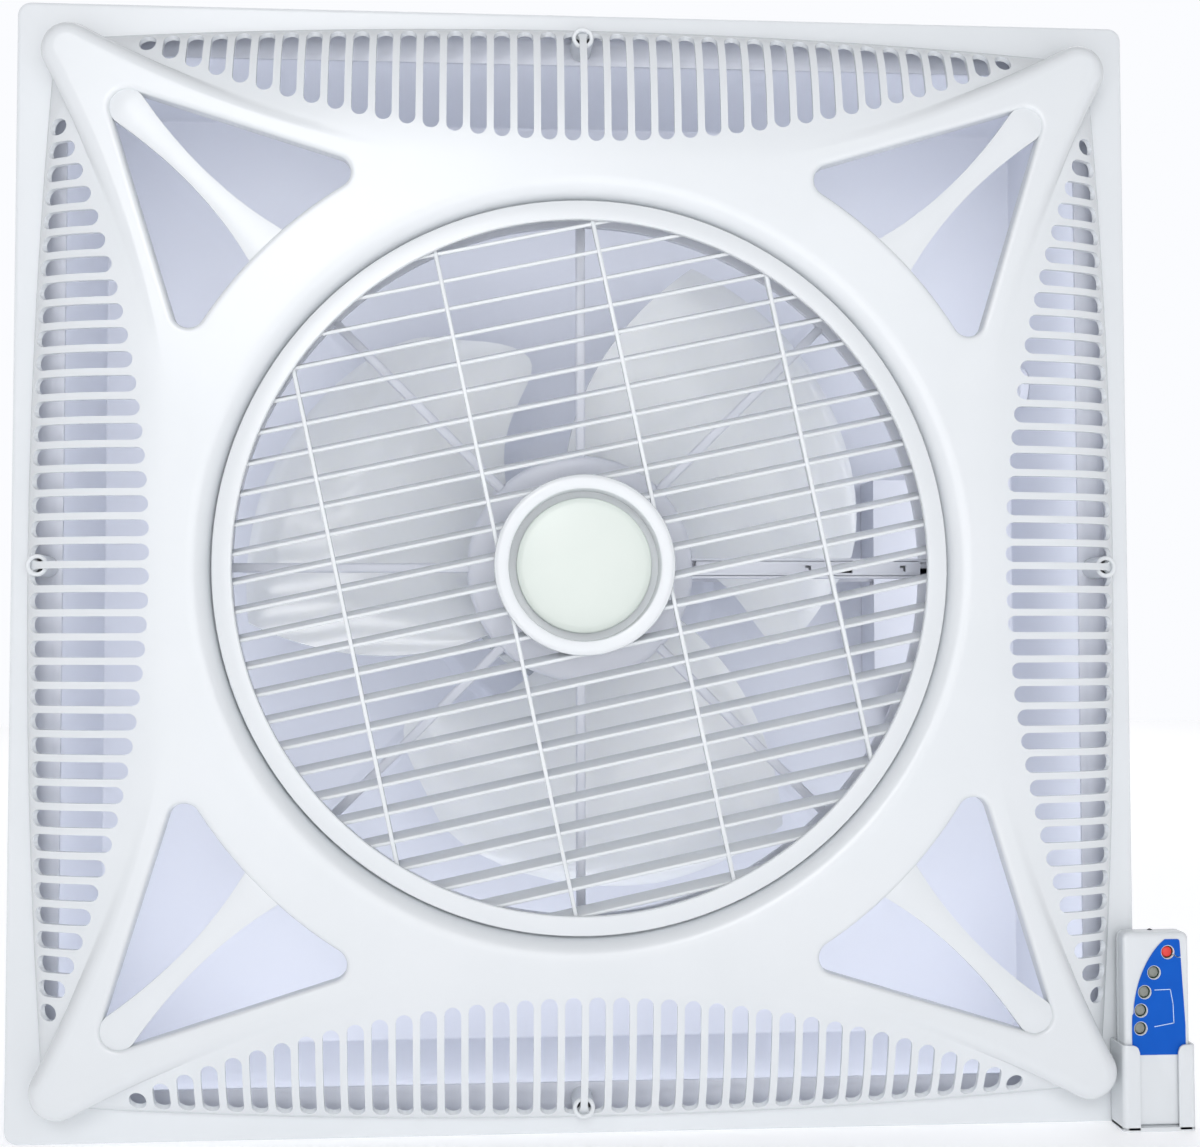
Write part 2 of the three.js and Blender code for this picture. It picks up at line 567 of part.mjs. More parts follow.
add(fan, 'guard', guardSpider(), GUARD_WHITE);
aroundAxis(4, (angle, i) => {
  const under = i === 0 ? DUCT_DEPTH : GUARD_RING_T;
  add(fan, `guard_screw_${i + 1}`, screw(3.4, 2, SCREW_R - FIT, under + 8), ZINC,
    [GUARD_BOSS_AT * Math.cos(angle), GUARD_BOSS_AT * Math.sin(angle), GUARD_FRONT - under - FIT],
    [Math.PI, 0, 0]);
});

// Wire duct cover, pressed into the right arm, with its latch holes and receiver window
const alongDuct = (share) => DUCT_RUN.from + share * (DUCT_RUN.to - DUCT_RUN.from);
const RECEIVER_AT = alongDuct(RECEIVER.along);

function ductCover() {
  const halfWidth = DUCT_WIDTH / 2 - DUCT_WALL - FIT;
  const strip = block([DUCT_RUN.from + FIT, -halfWidth, GUARD_FRONT - DUCT_COVER_T],
    [DUCT_RUN.to - FIT, halfWidth, GUARD_FRONT]);
  const opening = (x, length, width) => block(
    [x - length / 2, -width / 2, GUARD_FRONT - 2 * DUCT_COVER_T],
    [x + length / 2, width / 2, GUARD_FRONT + 1]);
  const holes = LATCH_HOLES.map((share) => opening(alongDuct(share), LATCH_HOLE, LATCH_HOLE));
  const { length, width } = RECEIVER;
  return cut(solid(strip), ...holes, opening(RECEIVER_AT, length + 2 * FIT, width + 2 * FIT));
}

add(fan, 'wire_duct_cover', ductCover(), GUARD_WHITE);
add(fan, 'ir_receiver', block(
  [-RECEIVER.length / 2, -RECEIVER.width / 2, -RECEIVER.depth],
  [RECEIVER.length / 2, RECEIVER.width / 2, -RECEIVER.sunk]), DARK_PLASTIC,
[RECEIVER_AT, 0, GUARD_FRONT]);

// Louvre motor inside the drum: a flat geared motor on two ears
const MOTOR_SEAT = GUARD_FRONT - DRUM_WALL - FIT;

function louvreMotor() {
  const can = ring(LOUVRE_SHAFT_R + TURN_GAP, LOUVRE_MOTOR_R, MOTOR_SEAT - LOUVRE_MOTOR_T,
    MOTOR_SEAT, 16);
  const { half, thick } = LOUVRE_EAR;
  const ears = block([-half, -MOTOR_EAR_AT - half, MOTOR_SEAT - thick],
    [half, MOTOR_EAR_AT + half, MOTOR_SEAT]);
  const body = join(solid(can), ears);
  return cut(body, rod(LOUVRE_SHAFT_R + TURN_GAP, MOTOR_SEAT - 2, MOTOR_SEAT + 1, 16),
    ...[1, -1].map((side) => rod(SCREW_R + FIT, MOTOR_SEAT - 2, MOTOR_SEAT + 1, 8)
      .translate(0, side * MOTOR_EAR_AT, 0)));
}

add(fan, 'louvre_motor', louvreMotor(), ZINC);
[1, -1].forEach((side, i) => {
  add(fan, `louvre_motor_screw_${i + 1}`, screw(3.2, 1.8, SCREW_R - FIT, DRUM_WALL + 2), ZINC,
    [0, side * MOTOR_EAR_AT, MOTOR_SEAT - LOUVRE_EAR.thick - FIT], [Math.PI, 0, 0]);
});
add(fan, 'louvre_motor_cover', turned([[0, DRUM_BACK - FIT], [DRUM_R, DRUM_BACK - FIT],
  [DRUM_R, DRUM_BACK - FIT - 1.5], [DRUM_R - 3, DRUM_BACK - FIT - 2.5],
  [0, DRUM_BACK - FIT - 2.5]], HUB_SIDES), GUARD_WHITE);

// ---- Louvre grille, which the louvre motor turns ----

const louvre = new THREE.Group();
louvre.rotation.z = LOUVRE_TURN * RAD;
fan.add(louvre);
const LOUVRE_IN = LOUVRE_R - LOUVRE_RIM;
const HUB_IN = HUB_R - HUB_RIM;
const SLAT_END_R = LOUVRE_R - LOUVRE_WALL / 2 - 0.2;
const HUB_BORE = LOUVRE_SHAFT_R + FIT;
const HUB_BACK = HUB_FLOOR - HUB_FLOOR_T;
const SOCKET_BACK = GUARD_FRONT + 7;

function slats() {
  const pieces = [];
  for (let i = 0; i < SLAT_COUNT; i++) {
    const across = (i - (SLAT_COUNT - 1) / 2) * SLAT_PITCH;
    const reach = Math.sqrt(SLAT_END_R ** 2 - (Math.abs(across) + 1) ** 2);
    pieces.push(new THREE.BoxGeometry(2 * reach, SLAT_THICKNESS, SLAT_DEPTH)
      .rotateX(SLAT_TILT * RAD).translate(0, across, SLAT_FRONT - SLAT_DEPTH / 2));
  }
  return mergeGeometries(pieces);
}

function crossBars() {
  const pieces = [];
  for (let i = 0; i < CROSS_BARS; i++) {
    const across = (i - (CROSS_BARS - 1) / 2) * CROSS_BAR_PITCH;
    const reach = Math.sqrt(SLAT_END_R ** 2 - across ** 2);
    pieces.push(block([across - CROSS_BAR_WIDTH / 2, -reach, SLAT_FRONT + 0.4 - CROSS_BAR_DEPTH],
      [across + CROSS_BAR_WIDTH / 2, reach, SLAT_FRONT + 0.4]));
  }
  return mergeGeometries(pieces);
}

function louvreGrille() {
  const rimBack = LOUVRE_FRONT - LOUVRE_DEPTH;
  const rim = turned([[LOUVRE_IN, LOUVRE_FRONT], [LOUVRE_R - LOUVRE_EDGE, LOUVRE_FRONT],
    [LOUVRE_R, LOUVRE_FRONT - LOUVRE_EDGE], [LOUVRE_R, rimBack],
    [LOUVRE_R - LOUVRE_WALL, rimBack], [LOUVRE_R - LOUVRE_WALL, LOUVRE_FRONT - LOUVRE_FACE_T],
    [LOUVRE_IN, LOUVRE_FRONT - LOUVRE_FACE_T]], OPENING_SIDES);
  const [socketR, wallIn] = [HUB_BORE + HUB_SOCKET_WALL, HUB_R - HUB_WALL];
  const hub = turned([[HUB_BORE, SOCKET_BACK], [socketR, SOCKET_BACK], [socketR, HUB_BACK],
    [wallIn, HUB_BACK], [wallIn, SLAT_FRONT - SLAT_DEPTH], [HUB_R, SLAT_FRONT - SLAT_DEPTH],
    [HUB_R, HUB_FRONT - HUB_EDGE], [HUB_R - HUB_EDGE, HUB_FRONT],
    [HUB_IN, HUB_FRONT], [HUB_IN, HUB_FLOOR], [SCREW_R + FIT, HUB_FLOOR],
    [SCREW_R + FIT, HUB_BACK - SHAFT_SEAT], [HUB_BORE, HUB_BACK - SHAFT_SEAT]], HUB_SIDES);
  const blinds = cut(join(solid(slats()), crossBars()), rod(HUB_R - HUB_EDGE, GUARD_FRONT,
    HUB_FRONT + 1, HUB_SIDES));
  return join(blinds, rim, hub);
}

add(louvre, 'louvre_grille', louvreGrille(), GLOSS_WHITE);
add(louvre, 'louvre_shaft', rod(LOUVRE_SHAFT_R, MOTOR_SEAT - LOUVRE_MOTOR_T + 2,
  HUB_BACK - SHAFT_SEAT - FIT, 10), STEEL);
add(louvre, 'louvre_screw', screw(4, 2, SCREW_R, HUB_FLOOR_T + 1.5), ZINC, [0, 0, HUB_FLOOR + FIT]);
add(louvre, 'hub_cap', turned([[0, HUB_FLOOR + HUB_CAP_DOME], [HUB_CAP_R * 0.55,
  HUB_FLOOR + HUB_CAP_DOME - 0.5], [HUB_CAP_R - 2, HUB_FLOOR + HUB_CAP_DOME - 2],
[HUB_CAP_R, HUB_FLOOR + HUB_CAP_DOME - 4], [HUB_CAP_R, HUB_FLOOR + FIT],
[HUB_CAP_R - 2, HUB_FLOOR + FIT], [HUB_CAP_R - 2, HUB_FLOOR + HUB_CAP_RISE],
[0, HUB_FLOOR + HUB_CAP_RISE]], HUB_SIDES), HUB_DISC);

// ---- Fan ----

const rotor = new THREE.Group();
fan.add(rotor);
const FAN_HUB_FRONT = BLADE_FRONT + 3;
const FAN_HUB_BACK = BLADE_BACK + 2;
const MOTOR_BACK = BOX_FLOOR + BOX_PAD_RISE + FIT + MOTOR_PLATE_T + FIT;

// Blade edges as [radius share, angle] pairs, from the hub to the tip
const LEADING_EDGE = [[0.215, 138], [0.45, 119], [0.68, 101], [0.83, 116], [0.92, 129], [1, 166]];
const TRAILING_EDGE = [[0.215, 218], [0.4, 213], [1, 189]];

// One wide petal, wound from its deep leading edge to its trailing edge in front
function blade() {
  const edge = (pairs) => new THREE.SplineCurve(pairs.map(([r, angle]) => new THREE.Vector2(
    r * BLADE_REACH, angle * RAD)));
  const [lead, trail] = [edge(LEADING_EDGE), edge(TRAILING_EDGE)];
  const angleAt = (curve, r) => {
    let [low, high] = [0, 1];
    for (let i = 0; i < 30; i++) {
      const middle = (low + high) / 2;
      if (curve.getPoint(middle).x < r) low = middle;
      else high = middle;
    }
    return curve.getPoint(low).y;
  };
  const upper = [];
  const lower = [];
  const root = (FAN_HUB_R - BLADE_ROOT) / BLADE_REACH;
  const stations = [root, 0.45, 0.68, 0.82, 0.93, 0.998];
  for (const share of stations) {
    const r = share * BLADE_REACH;
    const [from, to] = [angleAt(lead, r), angleAt(trail, r)];
    const wide = (to - from) / (80 * RAD);
    const row = Array.from({ length: BLADE_STRIPS + 1 }, (_, j) => {
      const across = j / BLADE_STRIPS;
      const angle = from + across * (to - from);
      const sweep = (BLADE_FRONT - BLADE_BACK - BLADE_T) * (0.35 + 0.65 * Math.min(wide, 1));
      const rise = BLADE_FRONT - BLADE_T - sweep * (1 - across) ** 1.15;
      return [r * Math.cos(angle), r * Math.sin(angle), rise];
    });
    upper.push(row.map(([x, y, z]) => new THREE.Vector3(x, y, z + BLADE_T)));
    lower.push(row.map(([x, y, z]) => new THREE.Vector3(x, y, z)));
  }
  return slab(upper, lower);
}

function fanBlade() {
  const [under, wallIn] = [FAN_HUB_FRONT - FAN_HUB_TOP, FAN_HUB_R - FAN_HUB_WALL];
  const hub = turned([[SHAFT_R + TURN_GAP, FAN_HUB_BACK], [FAN_BOSS_R, FAN_HUB_BACK],
    [FAN_BOSS_R, under], [wallIn, under], [wallIn, FAN_HUB_BACK], [FAN_HUB_R, FAN_HUB_BACK],
    [FAN_HUB_R, FAN_HUB_FRONT - FAN_HUB_EDGE], [FAN_HUB_R - FAN_HUB_EDGE, FAN_HUB_FRONT],
    [SHAFT_R + TURN_GAP, FAN_HUB_FRONT]], 20);
  return join(solid(hub), ...aroundAxis(BLADES, (angle) => blade().rotateZ(angle)));
}

const NUT_FRONT = FAN_HUB_FRONT + FIT + NUT_LENGTH;
add(rotor, 'fan_blade', fanBlade(), BLADE_PLASTIC);
add(rotor, 'blade_nut', turned([[0, NUT_FRONT], [NUT_R - 4, NUT_FRONT], [NUT_R, NUT_FRONT - 3],
  [NUT_R, FAN_HUB_FRONT + FIT], [SHAFT_R + TURN_GAP, FAN_HUB_FRONT + FIT],
  [SHAFT_R + TURN_GAP, NUT_FRONT - 3], [0, NUT_FRONT - 3]], 12), BLADE_PLASTIC);
add(rotor, 'motor_shaft', rod(SHAFT_R, MOTOR_BACK + MOTOR_WALL + 1, NUT_FRONT - 3 - FIT, 12), STEEL);

// ---- Fan motor ----

// One half of the motor case: z = 0 at its end face, its open rim towards +Z
function motorShell(depth, hole) {
  const seat = BEARING_R + FIT;
  return turned([[hole, 0], [MOTOR_R, 0], [MOTOR_R, depth], [MOTOR_R - MOTOR_WALL, depth],
    [MOTOR_R - MOTOR_WALL, MOTOR_WALL], [seat + 2, MOTOR_WALL],
    [seat + 2, MOTOR_WALL + BEARING_T], [seat, MOTOR_WALL + BEARING_T], [seat, MOTOR_WALL],
    [hole, MOTOR_WALL]], MOTOR_SIDES);
}

const MOTOR_LENGTH = MOTOR_FRONT - MOTOR_BACK;
const SHELL_DEPTH = (MOTOR_LENGTH - FIT) / 2;
const STACK = { low: MOTOR_BACK + STACK_INSET, high: MOTOR_FRONT - STACK_INSET };
const MOTOR_SCREW_AT = MOTOR_R + MOTOR_FOOT.half;

function motorPlate() {
  const plate = rod(MOTOR_SCREW_AT + MOTOR_FOOT.half, MOTOR_BACK - FIT - MOTOR_PLATE_T,
    MOTOR_BACK - FIT, MOTOR_SIDES);
  const holes = aroundAxis(MOTOR_SCREWS, (angle) => rod(SCREW_R + FIT, BOX_FLOOR, MOTOR_BACK, 6)
    .translate(MOTOR_SCREW_AT, 0, 0).rotateZ(angle + Math.PI / 4));
  return cut(solid(plate), ...holes);
}

// Rear half, with a foot for each screw
function motorRearShell() {
  const { half, reach, thick } = MOTOR_FOOT;
  const feet = aroundAxis(MOTOR_SCREWS, (angle) => block([MOTOR_R - 2 * MOTOR_WALL, -half, 0],
    [MOTOR_SCREW_AT + reach, half, thick]).rotateZ(angle + Math.PI / 4));
  const holes = aroundAxis(MOTOR_SCREWS, (angle) => rod(SCREW_R + FIT, -1, thick + 1, 6)
    .translate(MOTOR_SCREW_AT, 0, 0).rotateZ(angle + Math.PI / 4));
  return cut(join(solid(motorShell(SHELL_DEPTH, SHAFT_R + 2)), ...feet), ...holes);
}

add(fan, 'motor_mount', motorPlate(), ZINC);
add(fan, 'motor_rear_shell', motorRearShell(), ALUMINIUM, [0, 0, MOTOR_BACK]);
add(fan, 'motor_front_shell', motorShell(SHELL_DEPTH, SHAFT_R + 2), ALUMINIUM,
  [0, 0, MOTOR_FRONT], [Math.PI, 0, 0]);
add(fan, 'motor_stator', ring(STATOR_BORE, MOTOR_R - MOTOR_WALL - FIT, STACK.low, STACK.high,
  MOTOR_SIDES), LAMINATION);
add(rotor, 'motor_rotor', ring(SHAFT_R + TURN_GAP, STATOR_BORE - ROTOR_GAP, STACK.low, STACK.high,
  MOTOR_SIDES), LAMINATION);
[MOTOR_BACK + MOTOR_WALL + FIT, MOTOR_FRONT - MOTOR_WALL - FIT - BEARING_T + 1].forEach((low, i) => {
  add(fan, ['motor_bearing_rear', 'motor_bearing_front'][i],
    ring(SHAFT_R + TURN_GAP, BEARING_R, low, low + BEARING_T - 1, 12), STEEL);
});
aroundAxis(MOTOR_SCREWS, (angle, i) => {
  const at = angle + Math.PI / 4;
  const seat = MOTOR_FOOT.thick + FIT;
  add(fan, `motor_screw_${i + 1}`, screw(3.6, 2.4, SCREW_R, seat + MOTOR_PLATE_T), ZINC,
    [MOTOR_SCREW_AT * Math.cos(at), MOTOR_SCREW_AT * Math.sin(at), MOTOR_BACK + seat]);
});

// ---- Control box, capacitor, gland and leads inside the box ----

const CONTROL_BACK = BOX_FLOOR + FIT;
const LEAD_NOTCH = 8;           // half the notch that the motor lead comes in by

function controlBox() {
  const { width, height, depth, wall, fromCentre } = CONTROL;
  const [x, y] = [width / 2, height / 2];
  const tray = cut(solid(block([-x, -y, 0], [x, y, depth])),
    block([wall - x, wall - y, wall], [x - wall, y - wall, depth + 1]),
    block([-x - 1, -LEAD_NOTCH, depth - 8], [2 * wall - x, LEAD_NOTCH, depth + 1]));
  return tray.translate([fromCentre, 0, CONTROL_BACK]);
}

function controlCover() {
  const { width, height, depth, wall, fromCentre } = CONTROL;
  const [x, y] = [width / 2, height / 2];
  const inside = wall + FIT;
  const lid = block([-x, -y, depth + FIT], [x, y, depth + FIT + wall]);
  const lip = block([inside - x, inside - y, depth - 4], [x - inside, y - inside, depth + FIT + wall / 2]);
  const hollow = block([2 * inside - x, 2 * inside - y, depth - 5],
    [x - 2 * inside, y - 2 * inside, depth + FIT]);
  const notch = block([-x, -LEAD_NOTCH, depth - 5], [0, LEAD_NOTCH, depth + FIT]);
  return cut(join(solid(lid), lip), hollow, notch).translate([fromCentre, 0, CONTROL_BACK]);
}

// Board with its transformer, relays and terminal strip standing on it
function controlBoard() {
  const { width, height, depth, wall, fromCentre } = CONTROL;
  const { inset, stand, thick, post } = BOARD;
  const [x, y] = [width / 2 - wall - inset, height / 2 - wall - inset];
  const board = solid(block([-x, -y, stand], [x, y, stand + thick]));
  const parts = BOARD_PARTS.map(([left, low, right, high, top]) => block(
    [left * width, low * height, stand + thick / 2], [right * width, high * height, top * depth]));
  const [postX, postY] = [x - 1.5 * post, y - 1.5 * post];
  const posts = [[-1, -1], [1, -1], [-1, 1], [1, 1]].map(([sideX, sideY]) => rod(post,
    wall + FIT, stand + thick / 2, 8).translate(sideX * postX, sideY * postY, 0));
  return join(board, ...parts, ...posts).translate([fromCentre, 0, CONTROL_BACK]);
}

add(fan, 'control_box', controlBox(), GLOSS_WHITE);
add(fan, 'control_board', controlBoard(), BOARD_GREEN);
add(fan, 'control_box_cover', controlCover(), GLOSS_WHITE);
add(fan, 'motor_capacitor', rod(CAPACITOR.r, -CAPACITOR.length / 2, CAPACITOR.length / 2, 16)
  .rotateX(Math.PI / 2), DARK_PLASTIC,
[CONTROL.fromCentre, -CONTROL.height / 2 - CAPACITOR.away - CAPACITOR.length / 2,
  BOX_FLOOR + FIT + CAPACITOR.r]);

// Cable gland through the side wall: a collar each side of the sheet on one threaded neck
function cableGland() {
  const { neck, bore, collar, nut, nutLength, tail, length } = GLAND;
  const [inner, outer] = [-FIT, BOX_WALL + FIT];
  return turned([[bore, inner - nutLength], [nut, inner - nutLength], [nut, inner], [neck, inner],
    [neck, outer], [collar, outer], [collar, outer + 2 * BOX_WALL], [tail, length],
    [bore, length]], 12).rotateY(Math.PI / 2);
}

add(fan, 'cable_gland', cableGland(), GLOSS_WHITE, [BOX_HALF - BOX_WALL, GLAND_AT.y, GLAND_AT.z]);

// Motor lead, clipped along the box's back from the motor to the control box
const LEAD_LOW = BOX_FLOOR + BOX_PAD_RISE + LEAD_R + 1;
const LEAD_OUT = MOTOR_BACK + SHELL_DEPTH - 2 * LEAD_R;
const LEAD_IN = CONTROL_BACK + CONTROL.depth - LEAD_R - 1;
const LEAD_RUN = { from: MOTOR_R + FIT, to: CONTROL.fromCentre - CONTROL.width / 2 };
const leadRoute = new THREE.CatmullRomCurve3([[0, LEAD_OUT], [0.15, LEAD_OUT],
  [0.33, LEAD_LOW + 2 * LEAD_R], [0.59, LEAD_LOW], [0.82, LEAD_LOW + 3 * LEAD_R], [0.94, LEAD_IN],
  [1.045, LEAD_IN]].map(([share, z]) => new THREE.Vector3(
  LEAD_RUN.from + share * (LEAD_RUN.to - LEAD_RUN.from), 0, z)));
const leadSection = new THREE.Shape();
leadSection.absarc(0, 0, LEAD_R, 0, 2 * Math.PI);
add(fan, 'motor_lead', new THREE.ExtrudeGeometry(leadSection,
  { steps: 16, extrudePath: leadRoute, curveSegments: 3 }), LEAD_SHEATH);

// Hanger brackets, riveted to the box's sides near its back
function hanger() {
  const { width, length, ear, sheet } = HANGER;
  const leg = block([0, -width / 2, 0], [sheet, width / 2, length]);
  const foot = block([0, -width / 2, 0], [ear, width / 2, sheet]);
  const rivets = [length * 0.4, length * 0.8].map((z) => rod(2.4, sheet - 0.4, sheet + 1, 6)
    .rotateY(Math.PI / 2).translate(0, 0, z));
  const hole = rod(2.6, -1, sheet + 1, 8).translate((ear + sheet) / 2, 0, 0);
  return cut(join(solid(leg), foot, ...rivets), hole);
}

[[1, 1], [-1, 1], [-1, -1], [1, -1]].forEach(([side, up], i) => {
  add(fan, `hanger_bracket_${i + 1}`, hanger(), ZINC,
    [side * (BOX_HALF + FIT), up * HANGER_RISE, BOX_BACK], [0, 0, side > 0 ? 0 : Math.PI]);
});

// ---- Handset and holder: x right, y to the back, z up from the panel's lower edge ----

const remote = new THREE.Group();
const HOLDER_WIDTH = HANDSET.width + 2 * (HOLDER.wall + FIT);
const HOLDER_DEPTH = HANDSET.depth + FILM_T + 2 * HOLDER.wall + 3 * FIT;
remote.position.set(HALF - HOLDER.overlap + HOLDER_WIDTH / 2, -FIT, -HALF);
const HANDSET_BACK = -HOLDER.wall - FIT;
const HANDSET_FRONT = HANDSET_BACK - HANDSET.depth;
const HANDSET_LOW = HOLDER.floor + FIT;
const HANDSET_TOP = HANDSET_LOW + HANDSET.height;
const SPLIT = HANDSET_BACK - HANDSET.depth * 0.45;

function holder() {
  const { height, wall, arm, floor } = HOLDER;
  const outside = prism(roundedRect(HOLDER_WIDTH, HOLDER_DEPTH, 2.2), 0, height, 3)
    .translate(0, -HOLDER_DEPTH / 2, 0);
  const pocket = block([wall - HOLDER_WIDTH / 2, wall - HOLDER_DEPTH, floor],
    [HOLDER_WIDTH / 2 - wall, -wall, height + 1]);
  const gap = new THREE.Shape();
  const halfGap = HOLDER_WIDTH / 2 - arm;
  const lip = 4;
  gap.moveTo(-halfGap, floor);
  gap.lineTo(halfGap, floor);
  gap.lineTo(halfGap, height - lip);
  gap.absarc(halfGap + lip, height - lip, lip, Math.PI, Math.PI / 2, true);
  gap.lineTo(halfGap + lip, height + 1);
  gap.lineTo(-halfGap - lip, height + 1);
  gap.absarc(-halfGap - lip, height - lip, lip, Math.PI / 2, 0, true);
  const front = prism(gap, 0, 2 * wall, 3).rotateX(Math.PI / 2).translate(0, wall - HOLDER_DEPTH, 0);
  const screwHoles = [12, 33].map((z) => rod(1.8, -1, 2 * wall, 8).rotateX(Math.PI / 2)
    .translate(0, 0, z));
  return cut(solid(outside), pocket, front, ...screwHoles);
}

add(remote, 'remote_cradle', holder(), GLOSS_WHITE);

// Handset shells: rounded slabs, hollowed from the parting face
const handsetPlan = (inset) => roundedRect(HANDSET.width - 2 * inset, HANDSET.height - 2 * inset,
  HANDSET.corner - inset);
const standUp = (geometry) => geometry.rotateX(Math.PI / 2)
  .translate(0, 0, HANDSET_LOW + HANDSET.height / 2);

const keyPlaces = KEYS.map(([x, depth]) => [x, HANDSET_TOP - depth]);
const keyHoles = (r, from, to) => keyPlaces.map(([x, z]) => rod(r, -to, -from, KEY_SIDES)
  .rotateX(Math.PI / 2).translate(x, 0, z));

// Outside of a shell: a rounded slab from the parting face, bevelled round its outer face
const shellBlock = (depth) => new THREE.ExtrudeGeometry(handsetPlan(0), {
  depth: depth - HANDSET.edge, bevelThickness: HANDSET.edge, bevelSize: HANDSET.edge,
  bevelOffset: -HANDSET.edge, bevelSegments: 1, curveSegments: 3 });

// Half of the hole in the top edge that the sending lamp looks out of
const NOSE = { half: LAMP.r + 0.8, side: 1, over: LAMP.r + 0.8 };
const nose = (from, to) => block([-NOSE.half, from, HANDSET_TOP - 2 * SHELL],
  [NOSE.half, to, HANDSET_TOP + 1]);

function frontShell() {
  const outer = standUp(shellBlock(SPLIT - FIT / 2 - HANDSET_FRONT).translate(0, 0, -SPLIT + FIT / 2));
  const trim = block([-HANDSET.width, SPLIT - FIT / 2, 0], [HANDSET.width, 0, 2 * HANDSET.height]);
  const hollow = standUp(prism(handsetPlan(SHELL), -SPLIT - 1, -HANDSET_FRONT - SHELL, 2));
  return cut(solid(outer), trim, hollow, nose(SPLIT - NOSE.over, SPLIT + NOSE.side),
    ...keyHoles(KEY_WELL_R, HANDSET_FRONT - 1, HANDSET_FRONT + 2 * SHELL));
}

function backShell() {
  const depth = HANDSET_BACK - SPLIT;
  const outer = standUp(shellBlock(depth).rotateY(Math.PI).translate(0, 0, -HANDSET_BACK + depth));
  const trim = block([-HANDSET.width, HANDSET_FRONT, 0],
    [HANDSET.width, SPLIT + FIT / 2, 2 * HANDSET.height]);
  const hollow = standUp(prism(handsetPlan(SHELL), -HANDSET_BACK + SHELL, -SPLIT + 1, 2));
  const { low, high, width } = BATTERY;
  const door = block([-width / 2 - FIT, HANDSET_BACK - 2 * SHELL, HANDSET_LOW + low - FIT],
    [width / 2 + FIT, HANDSET_BACK + 1, HANDSET_LOW + high + FIT]);
  return cut(solid(outer), trim, hollow, door, nose(SPLIT - NOSE.side, SPLIT + NOSE.over));
}

add(remote, 'remote_front_shell', frontShell(), GLOSS_WHITE);
add(remote, 'remote_back_shell', backShell(), GLOSS_WHITE);

// Label film on the handset's face, its left edge an arc beside the keys with a step below it
function labelFilm() {
  const { height } = HANDSET;
  const film = new THREE.Shape();
  film.moveTo(4.6, height - 3.6);
  film.bezierCurveTo(-3.5, height - 10, -11.2, height - 23.5, -12.7, height - 40.3);
  film.lineTo(-13.7, height - 43.3);
  film.lineTo(-13.7, height - 64);
  film.lineTo(15.2, height - 64);
  film.lineTo(15.2, height - 49);
  film.lineTo(12.7, height - 4.9);
  film.quadraticCurveTo(12.5, height - 3.6, 11.4, height - 3.6);
  const sheet = prism(film, -HANDSET_FRONT + FIT, -HANDSET_FRONT + FIT + FILM_T, 6)
    .rotateX(Math.PI / 2).translate(0, 0, HANDSET_LOW);
  return cut(solid(sheet), ...keyHoles(KEY_WELL_R + FILM_RIM, HANDSET_FRONT - 2, HANDSET_FRONT));
}

add(remote, 'remote_label_film', labelFilm(), LABEL_BLUE);
keyPlaces.forEach(([x, z], i) => {
  const name = i === 0 ? 'power_button' : `speed_button_${i}`;
  add(remote, name, turned([[0, -KEY_SUNK], [KEY_R - 0.7, -KEY_SUNK], [KEY_R, -KEY_SUNK - 0.5],
    [KEY_R, -KEY_FOOT], [0, -KEY_FOOT]], KEY_SIDES), i === 0 ? KEY_RED : KEY_GREY,
  [x, HANDSET_FRONT, z], [Math.PI / 2, 0, 0]);
});

// Board behind the keys, its sending lamp in the top edge, two cells behind a door below it
const BOARD_FRONT = HANDSET_FRONT + KEY_FOOT + KEY_TRAVEL + FIT;
add(remote, 'remote_board', block([-HANDSET.width / 2 + SHELL + 1, BOARD_FRONT,
  HANDSET_LOW + BATTERY.high + 1], [HANDSET.width / 2 - SHELL - 1, BOARD_FRONT + 1.2,
  HANDSET_TOP - LAMP.foot - LAMP.sunk - 1]), BOARD_GREEN);
add(remote, 'remote_ir_led', turned([[0, LAMP.foot], [LAMP.r - 0.8, LAMP.foot - 0.6],
  [LAMP.r, LAMP.foot - 2.2], [LAMP.r, -LAMP.foot], [0, -LAMP.foot]], 8), DARK_PLASTIC,
[0, SPLIT, HANDSET_TOP - LAMP.sunk]);
add(remote, 'battery_cover', block([-BATTERY.width / 2, HANDSET_BACK - SHELL, HANDSET_LOW + BATTERY.low],
  [BATTERY.width / 2, HANDSET_BACK, HANDSET_LOW + BATTERY.high]), GLOSS_WHITE);
[-1, 1].forEach((side, i) => {
  const nub = CELL.length / 2;
  add(remote, `battery_cell_${i + 1}`, turned([[0, nub], [CELL.nub, nub], [CELL.nub, nub - 1],
    [CELL.r, nub - 1], [CELL.r, -nub], [0, -nub]], 10), CELL_BLACK,
  [side * (CELL.r + FIT), HANDSET_BACK - SHELL - FIT - CELL.r,
    HANDSET_LOW + (BATTERY.low + BATTERY.high) / 2], [side > 0 ? Math.PI : 0, 0, 0]);
});

const product = new THREE.Group();
product.add(fan, remote);
export default product;
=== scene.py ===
from math import asin, atan2, ceil, cos, pi, radians, sin, sqrt

import bmesh
import bpy
from mathutils import Matrix, Vector


